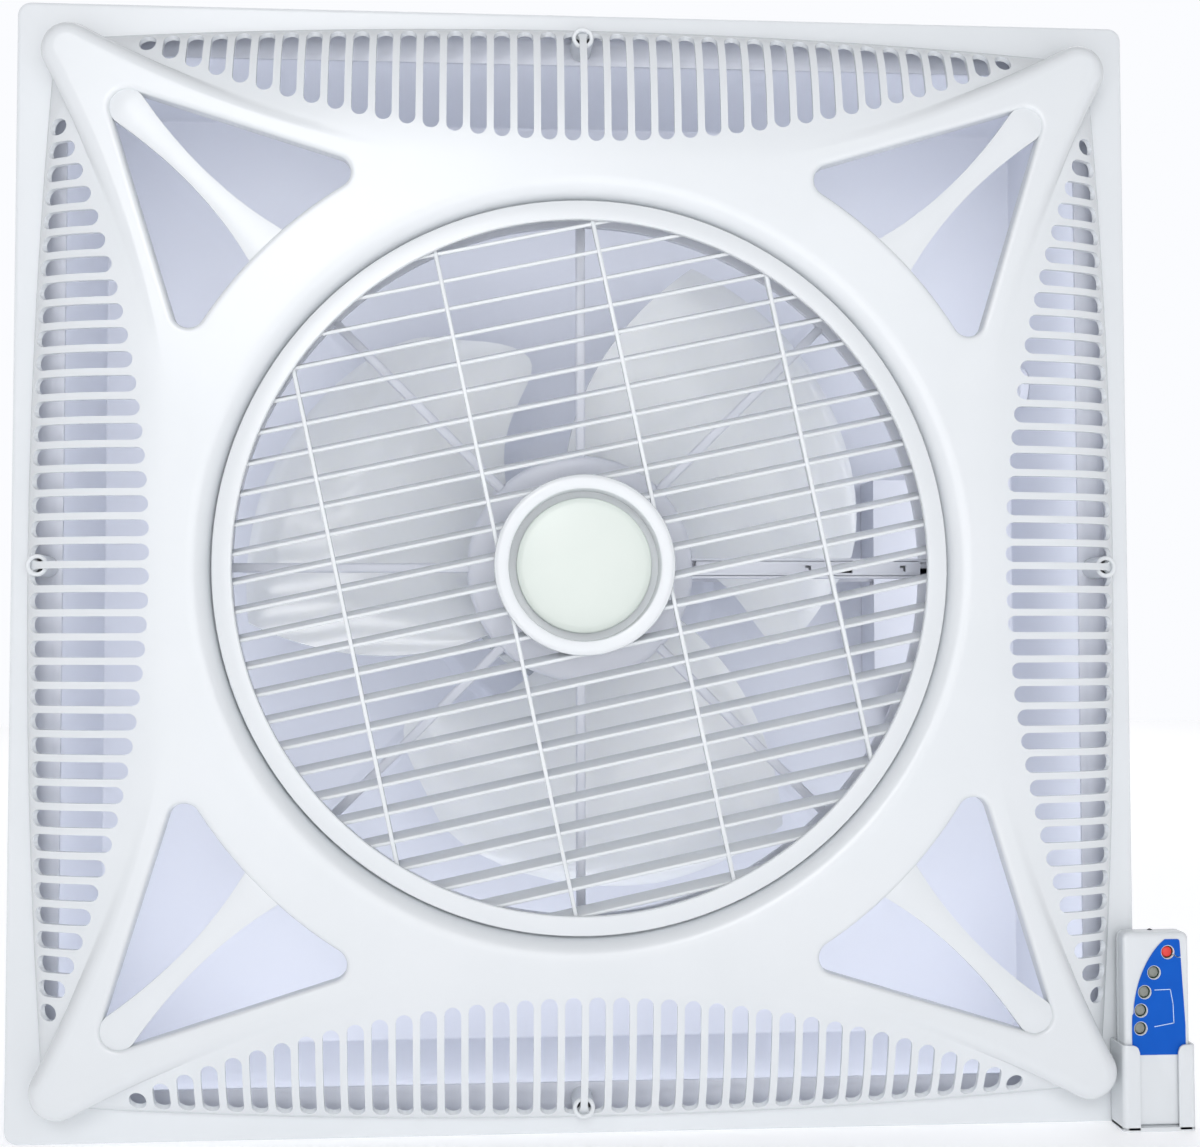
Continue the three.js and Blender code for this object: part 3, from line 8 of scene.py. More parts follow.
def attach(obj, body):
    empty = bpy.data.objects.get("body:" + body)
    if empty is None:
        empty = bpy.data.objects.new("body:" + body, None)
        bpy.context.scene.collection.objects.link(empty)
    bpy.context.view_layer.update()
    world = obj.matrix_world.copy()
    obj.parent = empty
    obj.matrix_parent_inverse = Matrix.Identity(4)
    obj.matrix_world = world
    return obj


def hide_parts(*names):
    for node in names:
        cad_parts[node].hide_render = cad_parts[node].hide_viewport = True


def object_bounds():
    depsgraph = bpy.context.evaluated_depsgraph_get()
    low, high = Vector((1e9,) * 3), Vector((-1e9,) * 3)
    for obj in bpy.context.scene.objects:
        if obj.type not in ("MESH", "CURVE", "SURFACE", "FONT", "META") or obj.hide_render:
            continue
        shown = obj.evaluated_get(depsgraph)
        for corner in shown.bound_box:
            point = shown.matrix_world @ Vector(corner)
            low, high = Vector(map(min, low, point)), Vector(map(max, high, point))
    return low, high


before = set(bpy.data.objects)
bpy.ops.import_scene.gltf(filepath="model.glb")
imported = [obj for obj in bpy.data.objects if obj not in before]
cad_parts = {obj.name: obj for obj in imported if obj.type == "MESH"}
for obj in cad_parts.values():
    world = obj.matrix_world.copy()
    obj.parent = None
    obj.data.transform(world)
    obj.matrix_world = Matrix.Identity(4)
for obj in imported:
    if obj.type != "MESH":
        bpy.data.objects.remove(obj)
cad_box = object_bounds()

# ---- Camera ----
# The camera stands a little left of and below the panel's middle, less than a metre away, and
# aims slightly down and to the right, which is what makes the square look uneven.
CAMERA_AT = Vector((-0.0497, -0.8595, -0.0372))
CAMERA_TURN = Vector((0.0391, 0.0001, -0.0686))
FOCAL_SHARE = 1620 / 1200       # focal length for the width of the sensor
SENSOR = 36

lens = bpy.data.cameras.new("camera")
lens.sensor_width = SENSOR
lens.sensor_fit = "HORIZONTAL"
lens.lens = SENSOR * FOCAL_SHARE
camera = bpy.data.objects.new("camera", lens)
level = Matrix.Rotation(radians(90), 4, "X")
turn = Matrix.Rotation(CAMERA_TURN.length, 4, CAMERA_TURN.normalized())
camera.matrix_world = Matrix.Translation(CAMERA_AT) @ turn @ level
bpy.context.collection.objects.link(camera)
bpy.context.scene.camera = camera
bpy.context.scene.view_settings.view_transform = "Standard"


# ---- Floor and studio light ----
# A plain pale floor that runs out to a bright backdrop, in a room that is dim on the camera's
# side. Key and fill lamps close to the camera's line reach through the slots into the box.
def linear(hex_colour):
    """Linear red, green, blue and alpha of an sRGB hex colour."""
    shares = [int(hex_colour[i:i + 2], 16) / 255 for i in (1, 3, 5)]
    return [s / 12.92 if s <= 0.04045 else ((s + 0.055) / 1.055) ** 2.4 for s in shares] + [1]


def put(tree, kind, inputs=(), **settings):
    """One node with its settings; an input is given a value, or a socket to be linked to."""
    node = tree.nodes.new(kind)
    for name, value in settings.items():
        setattr(node, name, value)
    for socket, value in dict(inputs).items():
        if isinstance(value, bpy.types.NodeSocket):
            tree.links.new(value, node.inputs[socket])
        else:
            node.inputs[socket].default_value = value
    return node


def material(name):
    """A new material and its cleared node tree."""
    made = bpy.data.materials.new(name)
    made.use_nodes = True
    made.node_tree.nodes.clear()
    return made, made.node_tree


FLOOR_COLOUR = "#F2F2F3"
SKY_COLOUR = "#FBFCFF"
FLOOR_SIZE = 8
bm = bmesh.new()
bmesh.ops.create_grid(bm, x_segments=1, y_segments=1, size=FLOOR_SIZE / 2,
                      matrix=Matrix.Translation((0, 0, cad_box[0][2])))
floor_mesh = bpy.data.meshes.new("floor")
bm.to_mesh(floor_mesh)
bm.free()
floor = bpy.data.objects.new("floor", floor_mesh)
bpy.context.collection.objects.link(floor)
floor_paint, tree = material("matt white light table")
shader = put(tree, "ShaderNodeBsdfPrincipled", {
    "Base Color": linear(FLOOR_COLOUR), "Roughness": 0.5,
    "Emission Color": linear(FLOOR_COLOUR), "Emission Strength": 0.35})
put(tree, "ShaderNodeOutputMaterial", {"Surface": shader.outputs["BSDF"]})
floor_mesh.materials.append(floor_paint)


def lamp(name, at, aim, size, power, colour="#FFFFFF", height=None):
    """Area lamp at a point, facing another: square, or a strip of some height."""
    light = bpy.data.lights.new(name, "AREA")
    light.shape = "RECTANGLE"
    light.size = size
    light.size_y = height or size
    light.energy = power
    light.color = linear(colour)[:3]
    holder = bpy.data.objects.new(name, light)
    facing = (Vector(aim) - Vector(at)).to_track_quat("-Z", "Y")
    holder.matrix_world = Matrix.Translation(at) @ facing.to_matrix().to_4x4()
    bpy.context.collection.objects.link(holder)


lamp("key softbox", (-0.4, -2.2, 0.9), (0, 0, 0), 0.8, 8.5, "#FEFEFF")
lamp("fill softbox", (0, -1.2, 0.04), (0, 0, 0), 1.0, 7, "#FEFEFF")
lamp("backdrop softbox", (0.4, 2.6, 2.2), (0.4, 3, 0), 2.5, 25)
# The thin white moulding lets daylight through into the box; strips behind its bands stand for it
for name, (x, z), (wide, high), power in (
        ("top", (0, 0.25), (0.5, 0.05), 0.07), ("left", (-0.25, 0), (0.05, 0.5), 0.11),
        ("bottom", (0, -0.25), (0.5, 0.05), 0.17), ("right", (0.25, 0), (0.05, 0.5), 0.14)):
    lamp(name + " glow through the panel", (x, 0.03, z), (x, 1, z), wide, power, "#FBFCFF", high)
world = bpy.data.worlds.new("studio")
world.use_nodes = True
tree = world.node_tree
tree.nodes.clear()
behind = put(tree, "ShaderNodeSeparateXYZ",
             {"Vector": put(tree, "ShaderNodeTexCoord").outputs["Generated"]}).outputs["Y"]
glow = put(tree, "ShaderNodeMapRange", {"Value": behind, "From Min": 0.2, "From Max": 0.7,
                                        "To Min": 0.39, "To Max": 1.0}).outputs["Result"]
dome = put(tree, "ShaderNodeBackground", {"Color": linear(SKY_COLOUR), "Strength": glow})
put(tree, "ShaderNodeOutputWorld", {"Surface": dome.outputs["Background"]})
bpy.context.scene.world = world

# ---- Front panel ----
# One injection moulding in glossy white ABS: flange, quarter-round slotted bands, a raised
# four-pointed star with rolled edges, split corner windows and a rolled lip for the louvre.
# Sizes are in millimetres, with the panel lying face up, until the mesh is stood up.
MM = 0.001
HALF = 297.5
PANEL_CORNER_R = 7
SKIN = 2.5
FIT = 0.3                       # between pieces that touch or pass each other
SCREW_BORE = 2.1                # clearance hole for a screw
RISE = 25
BAND = {"foot": 9, "width": 74}
SLOT = {"per_side": 38, "pitch": 12.3, "width": 8.6, "margin": 3.2, "waist": 76, "arc": 580}
STAR = {"waist": 83, "arc": 555, "bulb": 14.5, "roll": 8}
OPENING = {"r": 192.5, "roll": 11, "skirt": 12}
WINDOW = {"tip": HALF - 62.8, "tip_r": 9.2, "end_r": 8.3, "spread": 12.5, "ring": 40.3}

arc_centre = HALF - STAR["waist"] + STAR["arc"]
bulb_reach = STAR["arc"] + STAR["bulb"]
bulb_at = (arc_centre - sqrt(2 * bulb_reach ** 2 - arc_centre ** 2)) / 2
lean = atan2(arc_centre - bulb_at, bulb_at)
band_end = STAR["arc"] * cos(lean)


def sag(r, x):
    """How far an arc of radius r has fallen away at x."""
    return r - sqrt(r * r - x * x)


def star_line(x):
    """Panel edge to the star's hollow side."""
    return STAR["waist"] - sag(STAR["arc"], x)


foot_drop = star_line(band_end) - BAND["foot"]
foot_arc = (band_end ** 2 + foot_drop ** 2) / (2 * foot_drop)


def foot_line(x):
    """Panel edge to the foot of the band, which meets the star at the band's ends."""
    return BAND["foot"] + sag(foot_arc, x)


def band_height(depth):
    """Height of the quarter-round slope, depth in from its foot."""
    share = min(max(depth / BAND["width"], 0), 1)
    return RISE * sqrt(1 - (1 - share) ** 2)


def loop(bm, points):
    """Closed line of edges through the points."""
    verts = [bm.verts.new(Vector(p).to_3d() if len(p) == 2 else p) for p in points]
    return [bm.edges.new((a, b)) for a, b in zip(verts, verts[1:] + verts[:1])]


def strips(bm, rings):
    """Faces between neighbouring closed rings of as many points."""
    edges = [loop(bm, ring) for ring in rings]
    for low, high in zip(edges, edges[1:]):
        bmesh.ops.bridge_loops(bm, edges=low + high)


slope_steps = [BAND["width"] * (1 - cos(radians(7.5 * k))) for k in range(1, 12)]


def band_depth(x):
    return star_line(x) - foot_line(x)


def crossing(depth):
    """Where along the side the band is this deep."""
    low, high = 0, band_end
    for _ in range(50):
        middle = (low + high) / 2
        low, high = (middle, high) if band_depth(middle) > depth else (low, middle)
    return low


ribs = [k * SLOT["pitch"] / 2 for k in range(1, ceil(2 * band_end / SLOT["pitch"]))
        if k * SLOT["pitch"] / 2 < band_end - 1]
foot_stations = sorted([-band_end, 0, band_end] + ribs + [-x for x in ribs])
crest = [x for x in map(crossing, slope_steps) if min(abs(x - r) for r in ribs) > 0.4]
near = {r: x for x in map(crossing, slope_steps) for r in ribs if abs(x - r) <= 0.4}
crest_ribs = [near.get(r, r) for r in ribs]
crest_stations = sorted([-band_end, 0, band_end] + [s * x for x in crest + crest_ribs
                                                    for s in (-1, 1)])


def slotted_band():
    """The lower band with its slots, laid flat and then bent to the slope."""
    bm = bmesh.new()
    foot = [(x, 0) for x in foot_stations]
    loop(bm, foot + [(x, band_depth(x)) for x in reversed(crest_stations[1:-1])])
    r = SLOT["width"] / 2
    for i in range(SLOT["per_side"]):
        x = (i + 0.5 - SLOT["per_side"] / 2) * SLOT["pitch"]
        low = SLOT["margin"] + r
        high = SLOT["waist"] - sag(SLOT["arc"], x) - foot_line(x) - r
        turns = [radians(a) for a in range(0, 181, 20)]
        loop(bm, [(x + r * cos(a), high + r * sin(a)) for a in turns]
             + [(x - r * cos(a), low - r * sin(a)) for a in turns])
    bmesh.ops.triangle_fill(bm, use_beauty=True, edges=bm.edges, normal=(0, 0, 1))
    for step in slope_steps:
        bmesh.ops.bisect_plane(bm, geom=bm.verts[:] + bm.edges[:] + bm.faces[:], dist=1e-3,
                               plane_co=(0, step, 0), plane_no=(0, 1, 0))
    for vert in bm.verts:
        x, depth = vert.co.x, vert.co.y
        vert.co = (x, foot_line(x) + depth - HALF, band_height(depth))
    return bm


def star_ring(inset, wall):
    """Ring of points round the star at an inset from its outline, as high as the band there
    or as the star's own wall, whichever is higher."""
    ring = []
    for side in range(4):
        turned = Matrix.Rotation(radians(90 * side), 3, "Z")
        for x in crest_stations:
            angle = asin(x / STAR["arc"])
            r = STAR["arc"] + inset
            at = Vector((r * sin(angle), r * cos(angle) - arc_centre, 0))
            depth = at.y + HALF - foot_line(min(max(at.x, -band_end), band_end))
            at.z = max(band_height(depth) if abs(x) < band_end else 0, wall)
            ring.append(turned @ at)
        start = lean + pi
        sweep = 1.5 * pi - 2 * lean
        r = STAR["bulb"] - inset
        for k in range(1, 24):
            angle = start + sweep * k / 24
            ring.append(turned @ Vector((bulb_at + r * cos(angle), r * sin(angle) - bulb_at, wall)))
    return ring


def window_ring(grow, height, quarter):
    """Ring of points round a corner window, grown outwards by a margin."""
    tip_at, tip_r, end_r = WINDOW["tip"], WINDOW["tip_r"], WINDOW["end_r"]
    spread, arc_r = radians(WINDOW["spread"]), OPENING["r"] + WINDOW["ring"]
    ends = [Vector((cos(radians(45) + s * spread), sin(radians(45) + s * spread)))
            * (arc_r + end_r) for s in (-1, 1)]
    tip = Vector((tip_at, tip_at))
    side = tip - ends[1]
    slip = asin((tip_r - end_r) / side.length)
    facing = atan2(side.y, side.x) + pi / 2 + slip
    back = 1.25 * pi + spread
    ring = []

    def bend(centre, r, start, end, count):
        for k in range(count + 1):
            angle = start + (end - start) * k / count
            ring.append(Vector((centre.x + r * cos(angle), centre.y + r * sin(angle), height)))

    bend(tip, tip_r + grow, pi / 2 - facing, facing, 20)
    bend(ends[1], end_r + grow, facing, back, 20)
    bend(Vector((0, 0)), arc_r - grow, radians(45) + spread, radians(45) - spread, 16)
    bend(ends[0], end_r + grow, 2.5 * pi - back, 2.5 * pi - facing, 20)
    turned = Matrix.Rotation(radians(90 * quarter), 3, "Z")
    return [turned @ p for k, p in enumerate(ring) if (p - ring[k - 1]).length > 1e-3]


def disc(r, count, x=0, y=0):
    """Points round a circle."""
    return [(x + r * cos(2 * pi * k / count), y + r * sin(2 * pi * k / count))
            for k in range(count)]


def round_ring(r, height, count=144):
    return [(x, y, height) for x, y in disc(r, count)]


def corners(x, y, r, steps):
    """Points round a rectangle whose rounded corners have their centres at x and y."""
    ring = []
    for corner, (sx, sy) in enumerate(((1, 1), (-1, 1), (-1, -1), (1, -1))):
        for k in range(steps + 1):
            angle = radians(90 * corner + 90 * k / steps)
            ring.append((sx * x + r * cos(angle), sy * y + r * sin(angle)))
    return ring


def rounded_square(half, r, height, inset=0, steps=10):
    return [(x, y, height) for x, y in corners(half - r, half - r, r - inset, steps)]


def rotate(bm, degrees, axis):
    """Turns a mesh about one of the axes."""
    bmesh.ops.rotate(bm, verts=bm.verts, cent=(0, 0, 0),
                     matrix=Matrix.Rotation(radians(degrees), 3, axis))


def add_sheet(bm, sheet):
    """Joins a part-finished sheet to the panel's."""
    mesh = bpy.data.meshes.new("sheet")
    sheet.to_mesh(mesh)
    sheet.free()
    bm.from_mesh(mesh)
    bpy.data.meshes.remove(mesh)


def flat_sheet(height, *rings):
    """Flat face bounded by rings of points, all at one height."""
    sheet = bmesh.new()
    for ring in rings:
        loop(sheet, [(p[0], p[1], height) for p in ring])
    bmesh.ops.triangle_fill(sheet, use_beauty=True, edges=sheet.edges, normal=(0, 0, 1))
    return sheet


panel = bmesh.new()
for side in range(4):
    band = slotted_band()
    rotate(band, 90 * side, "Z")
    add_sheet(panel, band)

roll = [(STAR["roll"] * (1 - cos(radians(a))), RISE - STAR["roll"] * (1 - sin(radians(a))))
        for a in range(0, 91, 15)]
star_rings = [star_ring(0, 0)] + [star_ring(inset, wall) for inset, wall in roll]
star_rings.append(star_ring(STAR["roll"] + 0.8, RISE))
strips(panel, star_rings)

edge_rings = [rounded_square(HALF, PANEL_CORNER_R, height, inset, 8)
              for inset, height in ((0, -1), (0.3, -0.3), (1, 0), (2, 0))]
strips(panel, edge_rings)

flange_hole = []
bulb_count = 24
for side in range(4):
    quarter_turn = Matrix.Rotation(radians(90 * side), 3, "Z")
    flange_hole += [quarter_turn @ Vector((x, foot_line(x) - HALF, 0)) for x in foot_stations]
    first = len(crest_stations) + side * (len(crest_stations) + bulb_count - 1)
    flange_hole += star_rings[0][first:first + bulb_count - 1]
add_sheet(panel, flat_sheet(0, edge_rings[-1], flange_hole))

window_profile = [(3.5, RISE), (2, RISE), (1, RISE - 0.3), (0.3, RISE - 1), (0, RISE - 2),
                  (0, RISE - 9)]
for quarter in range(4):
    strips(panel, [window_ring(grow, height, quarter) for grow, height in window_profile])
lip_profile = [(OPENING["r"] + OPENING["roll"] + 1, RISE)]
lip_profile += [(OPENING["r"] + OPENING["roll"] * (1 - sin(radians(a))),
                 RISE - OPENING["roll"] * (1 - cos(radians(a)))) for a in range(0, 91, 10)]
lip_profile += [(OPENING["r"], 0), (OPENING["r"], -OPENING["skirt"])]
strips(panel, [round_ring(r, height) for r, height in lip_profile])
add_sheet(panel, flat_sheet(RISE, star_rings[-1], round_ring(lip_profile[0][0], RISE),
                            *[window_ring(3.5, RISE, q) for q in range(4)]))
bmesh.ops.remove_doubles(panel, verts=panel.verts, dist=5e-3)
bmesh.ops.dissolve_degenerate(panel, dist=1e-3, edges=panel.edges)
bmesh.ops.recalc_face_normals(panel, faces=panel.faces)
bmesh.ops.solidify(panel, geom=panel.faces[:], thickness=SKIN)

SPOKE = {"step": 1.5, "thickness": 4.5, "waist": 3.2, "flare": 13, "tip": WINDOW["tip"], "r": 9.6}
SCREW_HOLE = {"at": HALF - 16.1, "bore": 3.6, "r": 5.8, "low": -9.7, "web": 2, "high": 10.5}
GUARD_POST = {"at": 204.5, "bore": 1.8, "r": 5, "low": -14.7}


def turned(bm, profile, count, at=(0, 0, 0), closed=True):
    """Adds a solid of revolution round Z through a point, from [radius, height] pairs."""
    made = bmesh.new()
    verts = [made.verts.new((r, 0, height)) for r, height in profile]
    edges = [made.edges.new(pair) for pair in zip(verts, verts[1:])]
    if closed:
        edges.append(made.edges.new((verts[-1], verts[0])))
    bmesh.ops.spin(made, geom=verts + edges, cent=(0, 0, 0), axis=(0, 0, 1), angle=2 * pi,
                   steps=count, use_merge=True)
    bmesh.ops.remove_doubles(made, verts=made.verts, dist=1e-4)
    bmesh.ops.recalc_face_normals(made, faces=made.faces)
    bmesh.ops.translate(made, verts=made.verts, vec=at)
    add_sheet(bm, made)


def soften(bm, edges, width, segments=2):
    """Rounds some of a mesh's edges."""
    bmesh.ops.bevel(bm, geom=edges, offset=width, offset_type="OFFSET", affect="EDGES",
                    segments=segments, profile=0.5, material=-1, clamp_overlap=True)


def thicken(sheet, way):
    """Makes a plate of a flat sheet."""
    grown = bmesh.ops.extrude_face_region(sheet, geom=sheet.faces[:])
    bmesh.ops.translate(sheet, vec=way,
                        verts=[v for v in grown["geom"] if isinstance(v, bmesh.types.BMVert)])
    bmesh.ops.recalc_face_normals(sheet, faces=sheet.faces)


def face_outwards(bm):
    """Points the faces of an open shell outwards, going by the one furthest to the right."""
    bmesh.ops.recalc_face_normals(bm, faces=bm.faces)
    right = max(bm.faces, key=lambda f: f.calc_center_median().x)
    if right.normal.x < 0:
        bmesh.ops.reverse_faces(bm, faces=bm.faces)


def solid_sheet(bm, rings, low, high, bevel=0, segments=2):
    """Plate between two heights, its outline and holes given as rings of points."""
    sheet = flat_sheet(low, *rings)
    bmesh.ops.recalc_face_normals(sheet, faces=sheet.faces)
    thicken(sheet, (0, 0, high - low))
    if bevel:
        rim = [e for e in sheet.edges if all(abs(v.co.z - high) < 1e-6 for v in e.verts)
               and any(abs(f.normal.z) < 0.5 for f in e.link_faces)]
        soften(sheet, rim, bevel, segments)
    add_sheet(bm, sheet)


def cubic(a, b, c, d, count):
    """Points along a Bezier curve, without its last."""
    return [((1 - t) ** 3 * Vector(a) + 3 * t * (1 - t) ** 2 * Vector(b)
             + 3 * t * t * (1 - t) * Vector(c) + t ** 3 * Vector(d))
            for t in (k / count for k in range(count))]


tip = SPOKE["tip"] * sqrt(2)
root = OPENING["r"] + WINDOW["ring"] - 5
third = (tip - root) / 3
side = cubic((tip, SPOKE["r"]), (tip - third, SPOKE["waist"]), (root + third, SPOKE["waist"]),
             (root, SPOKE["flare"]), 16) + [Vector((root, SPOKE["flare"]))]
bulb = [(tip + SPOKE["r"] * cos(radians(a)), SPOKE["r"] * sin(radians(a)))
        for a in range(-80, 90, 10)]
outline = bulb + [tuple(p) for p in side] + [(p.x, -p.y) for p in reversed(side)]
for quarter in range(4):
    turned_by = Matrix.Rotation(radians(45 + 90 * quarter), 2)
    solid_sheet(panel, [[turned_by @ Vector(p) for p in outline]],
                RISE - SPOKE["step"] - SPOKE["thickness"], RISE - SPOKE["step"], 1.4, 3)
    across = Matrix.Rotation(radians(90 * quarter), 3, "Z")
    hole = SCREW_HOLE
    turned(panel, [(SCREW_BORE, hole["low"]), (hole["r"], hole["low"]),
                   (hole["r"], hole["high"] - 0.6), (hole["r"] - 0.6, hole["high"]),
                   (hole["bore"] + 0.4, hole["high"]), (hole["bore"], hole["high"] - 0.5),
                   (hole["bore"], hole["low"] + hole["web"]),
                   (SCREW_BORE, hole["low"] + hole["web"])], 40,
           across @ Vector((0, hole["at"], 0)))
    post = GUARD_POST
    turned(panel, [(post["bore"], post["low"]), (post["r"], post["low"]),
                   (post["r"] + 0.8, RISE - 2), (post["bore"], RISE - 2)], 24,
           across @ Vector((post["at"], 0, 0)))


def stand_up(bm, at=(0, 0, 0)):
    """Millimetres with the panel face up become metres with its face towards -Y."""
    bmesh.ops.transform(bm, matrix=Matrix.Rotation(radians(90), 4, "X") @ Matrix.Scale(MM, 4)
                        @ Matrix.Translation(at), verts=bm.verts)


def piece(bm, name, body, slot, finish, *nodes, sharp=32):
    """A finished piece from its mesh, riding on a body and standing for CAD nodes."""
    mesh = bpy.data.meshes.new(name)
    bm.to_mesh(mesh)
    bm.free()
    mesh.polygons.foreach_set("use_smooth", [True] * len(mesh.polygons))
    mesh.set_sharp_from_angle(angle=radians(sharp))
    mesh.materials.append(finish)
    made = bpy.data.objects.new(name, mesh)
    bpy.context.collection.objects.link(made)
    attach(made, body)
    if nodes:
        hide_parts(*nodes)


def noise(tree, place, size, detail):
    """Cloudy noise whose patches are some millimetres across."""
    return put(tree, "ShaderNodeTexNoise", {"Vector": place, "Scale": 1 / (size * MM),
                                            "Detail": detail}).outputs["Fac"]


def surface(tree, tones, drift, roughness, spread, skin, relief, settings):
    """Colour and gloss that follow one noise, and a relief in millimetres that follows one."""
    tone = put(tree, "ShaderNodeMix", {0: drift, 6: linear(tones[0]), 7: linear(tones[1])},
               data_type="RGBA").outputs[2]
    gloss = put(tree, "ShaderNodeMapRange", {
        "Value": drift, "To Min": roughness * (1 - spread),
        "To Max": roughness * (1 + spread)}).outputs["Result"]
    bump = put(tree, "ShaderNodeBump", {"Height": skin, "Distance": relief * MM,
                                        "Strength": 1.0}).outputs["Normal"]
    shader = put(tree, "ShaderNodeBsdfPrincipled", {"Base Color": tone, "Roughness": gloss,
                                                    "Normal": bump, **settings})
    put(tree, "ShaderNodeOutputMaterial", {"Surface": shader.outputs["BSDF"]})


def moulded(name, tones, roughness, cloud, grain, relief, **settings):
    """Moulded plastic: colour that drifts between two tones over `cloud` millimetres, and a
    skin that is uneven by `relief` millimetres over `grain` millimetres."""
    made, tree = material(name)
    place = put(tree, "ShaderNodeTexCoord").outputs["Object"]
    surface(tree, tones, noise(tree, place, cloud, 2.0), roughness, 0.15,
            noise(tree, place, grain, 3.0), relief, settings)
    return made


# The eye gets an even, very white gloss with soft reflections and a faint orange peel.
gloss_abs = moulded("glossy white moulded ABS", ("#DBDFE2", "#E1E4E7"), 0.24, 60, 2.2, 0.012,
                    IOR=1.53)
stand_up(panel)
piece(panel, "moulded_front_panel", "frame", "panel_white", gloss_abs, "front_panel")

# ---- Panel screws ----
# Four black self-tapping screws stand deep in bosses under the middle rib of each side. From
# the front only dark crescents of the recess show beside the rib.
PANEL_SCREW = {"head": 3.1, "height": 2.2, "shank": 1.8, "reach": 7.4}


def pan_screw(head, height, shank, reach):
    """Pan-head screw along +Z: head above zero with a cross recess, threaded shank below."""
    bm = bmesh.new()
    half, arm = head * 0.13, head * 0.55
    cross = [(arm, -half), (arm, half), (half, half)]
    for _ in range(3):
        cross += [(-y, x) for x, y in cross[-3:]]
    add_sheet(bm, flat_sheet(height, disc(head * 0.68, 24), cross))
    add_sheet(bm, flat_sheet(height * 0.3, cross))
    strips(bm, [[(x, y, z) for x, y in cross] for z in (height, height * 0.3)])
    profile = [(0.68, 1), (0.86, 0.88), (0.96, 0.62), (1, 0.3), (1, 0.06), (0.97, 0)]
    rings = [round_ring(head * r, height * z, 24) for r, z in profile]
    turns = int(reach / 0.9)
    for k in range(turns * 2 + 1):
        r = shank * (0.82 if k % 2 else 1) * (0.35 if k == turns * 2 else 1)
        rings.append(round_ring(r, -0.02 - (reach - 0.02) * k / (turns * 2), 24))
    strips(bm, rings)
    add_sheet(bm, flat_sheet(-reach, rings[-1]))
    bmesh.ops.remove_doubles(bm, verts=bm.verts, dist=1e-4)
    bmesh.ops.recalc_face_normals(bm, faces=bm.faces)
    return bm


def metal(name, tones, roughness, grain, relief, stretch=(1, 1, 1)):
    """Metal whose tone and gloss vary over a stretched grain, in millimetres."""
    made, tree = material(name)
    place = put(tree, "ShaderNodeTexCoord").outputs["Object"]
    spread = put(tree, "ShaderNodeMapping", {"Vector": place, "Scale": stretch}).outputs["Vector"]
    grains = noise(tree, spread, grain, 4.0)
    surface(tree, tones, grains, roughness, 0.25, grains, relief, {"Metallic": 1.0})
    return made


# Black oxide: almost no colour, with a dull oily gleam on the edges.
black_oxide = metal("black oxide steel", ("#1C1D21", "#2E3036"), 0.42, 0.6, 0.01)
for name, (x, y) in {"top": (0, 1), "left": (-1, 0), "bottom": (0, -1), "right": (1, 0)}.items():
    bm = pan_screw(PANEL_SCREW["head"], PANEL_SCREW["height"], PANEL_SCREW["shank"],
                   PANEL_SCREW["reach"])
    seat = SCREW_HOLE["low"] + SCREW_HOLE["web"] + FIT
    stand_up(bm, (x * SCREW_HOLE["at"], y * SCREW_HOLE["at"], seat))
    piece(bm, f"black_panel_screw_{name}", "frame", "screw_dark", black_oxide,
          f"panel_screw_{name}")

# ---- Steel box ----
# A deep-drawn tray of sheet steel, powder coated near white, with a folded lip round its mouth that
# the panel is screwed to. A round pad is pressed up for the motor. Its pale lavender grey is
# painted shade.
BOX = {"half": HALF - 8, "depth": 168, "wall": 1.5, "corner": 12, "bend": 3, "mouth": -2.8}
LIP = {"z": -10, "width": 16}
PAD = {"r": 92, "rise": 5}

box = bmesh.new()
walls = [rounded_square(BOX["half"], BOX["corner"], BOX["mouth"])]
for a in range(0, 91, 15):
    walls.append(rounded_square(BOX["half"], BOX["corner"],
                                -BOX["depth"] + BOX["bend"] * (1 - sin(radians(a))),
                                BOX["bend"] * (1 - cos(radians(a)))))
strips(box, walls)
pad_rings = [round_ring(r, -BOX["depth"] + z, 72) for r, z in
             ((PAD["r"] + 2, 0), (PAD["r"] + 0.6, 0.4), (PAD["r"] - 0.6, 1.6),
              (PAD["r"] - 4.4, PAD["rise"] - 0.7), (PAD["r"] - 6, PAD["rise"] - 0.1),
              (PAD["r"] - 8, PAD["rise"]))]
strips(box, pad_rings)
beads = []
for quarter in range(4):
    aim = Matrix.Rotation(radians(45 + 90 * quarter), 3, "Z")
    steps = []
    for grow, z in ((7, 0), (5.4, 0.5), (2.6, 2), (1, 2.4)):
        ring = [(250 + grow * cos(radians(a)), grow * sin(radians(a))) for a in range(-90, 91, 15)]
        ring += [(140 + grow * cos(radians(a)), grow * sin(radians(a))) for a in range(90, 271, 15)]
        steps.append([aim @ Vector((x, y, z - BOX["depth"])) for x, y in ring])
    strips(box, steps)
    add_sheet(box, flat_sheet(2.4 - BOX["depth"], steps[-1]))
    beads.append(steps[0])
add_sheet(box, flat_sheet(-BOX["depth"], walls[-1], pad_rings[0], *beads))
add_sheet(box, flat_sheet(PAD["rise"] - BOX["depth"], pad_rings[-1]))
bmesh.ops.remove_doubles(box, verts=box.verts, dist=5e-3)
face_outwards(box)
bmesh.ops.solidify(box, geom=box.faces[:], thickness=BOX["wall"])
mouth = [rounded_square(BOX["half"] - 0.7, BOX["corner"] - 0.7, 0),
         rounded_square(BOX["half"] - LIP["width"], 4, 0)]
holes = [disc(SCREW_BORE, 20, x * SCREW_HOLE["at"], y * SCREW_HOLE["at"])
         for x, y in ((1, 0), (0, 1), (-1, 0), (0, -1))]
solid_sheet(box, mouth + holes, LIP["z"] - BOX["wall"], LIP["z"], 0.4)
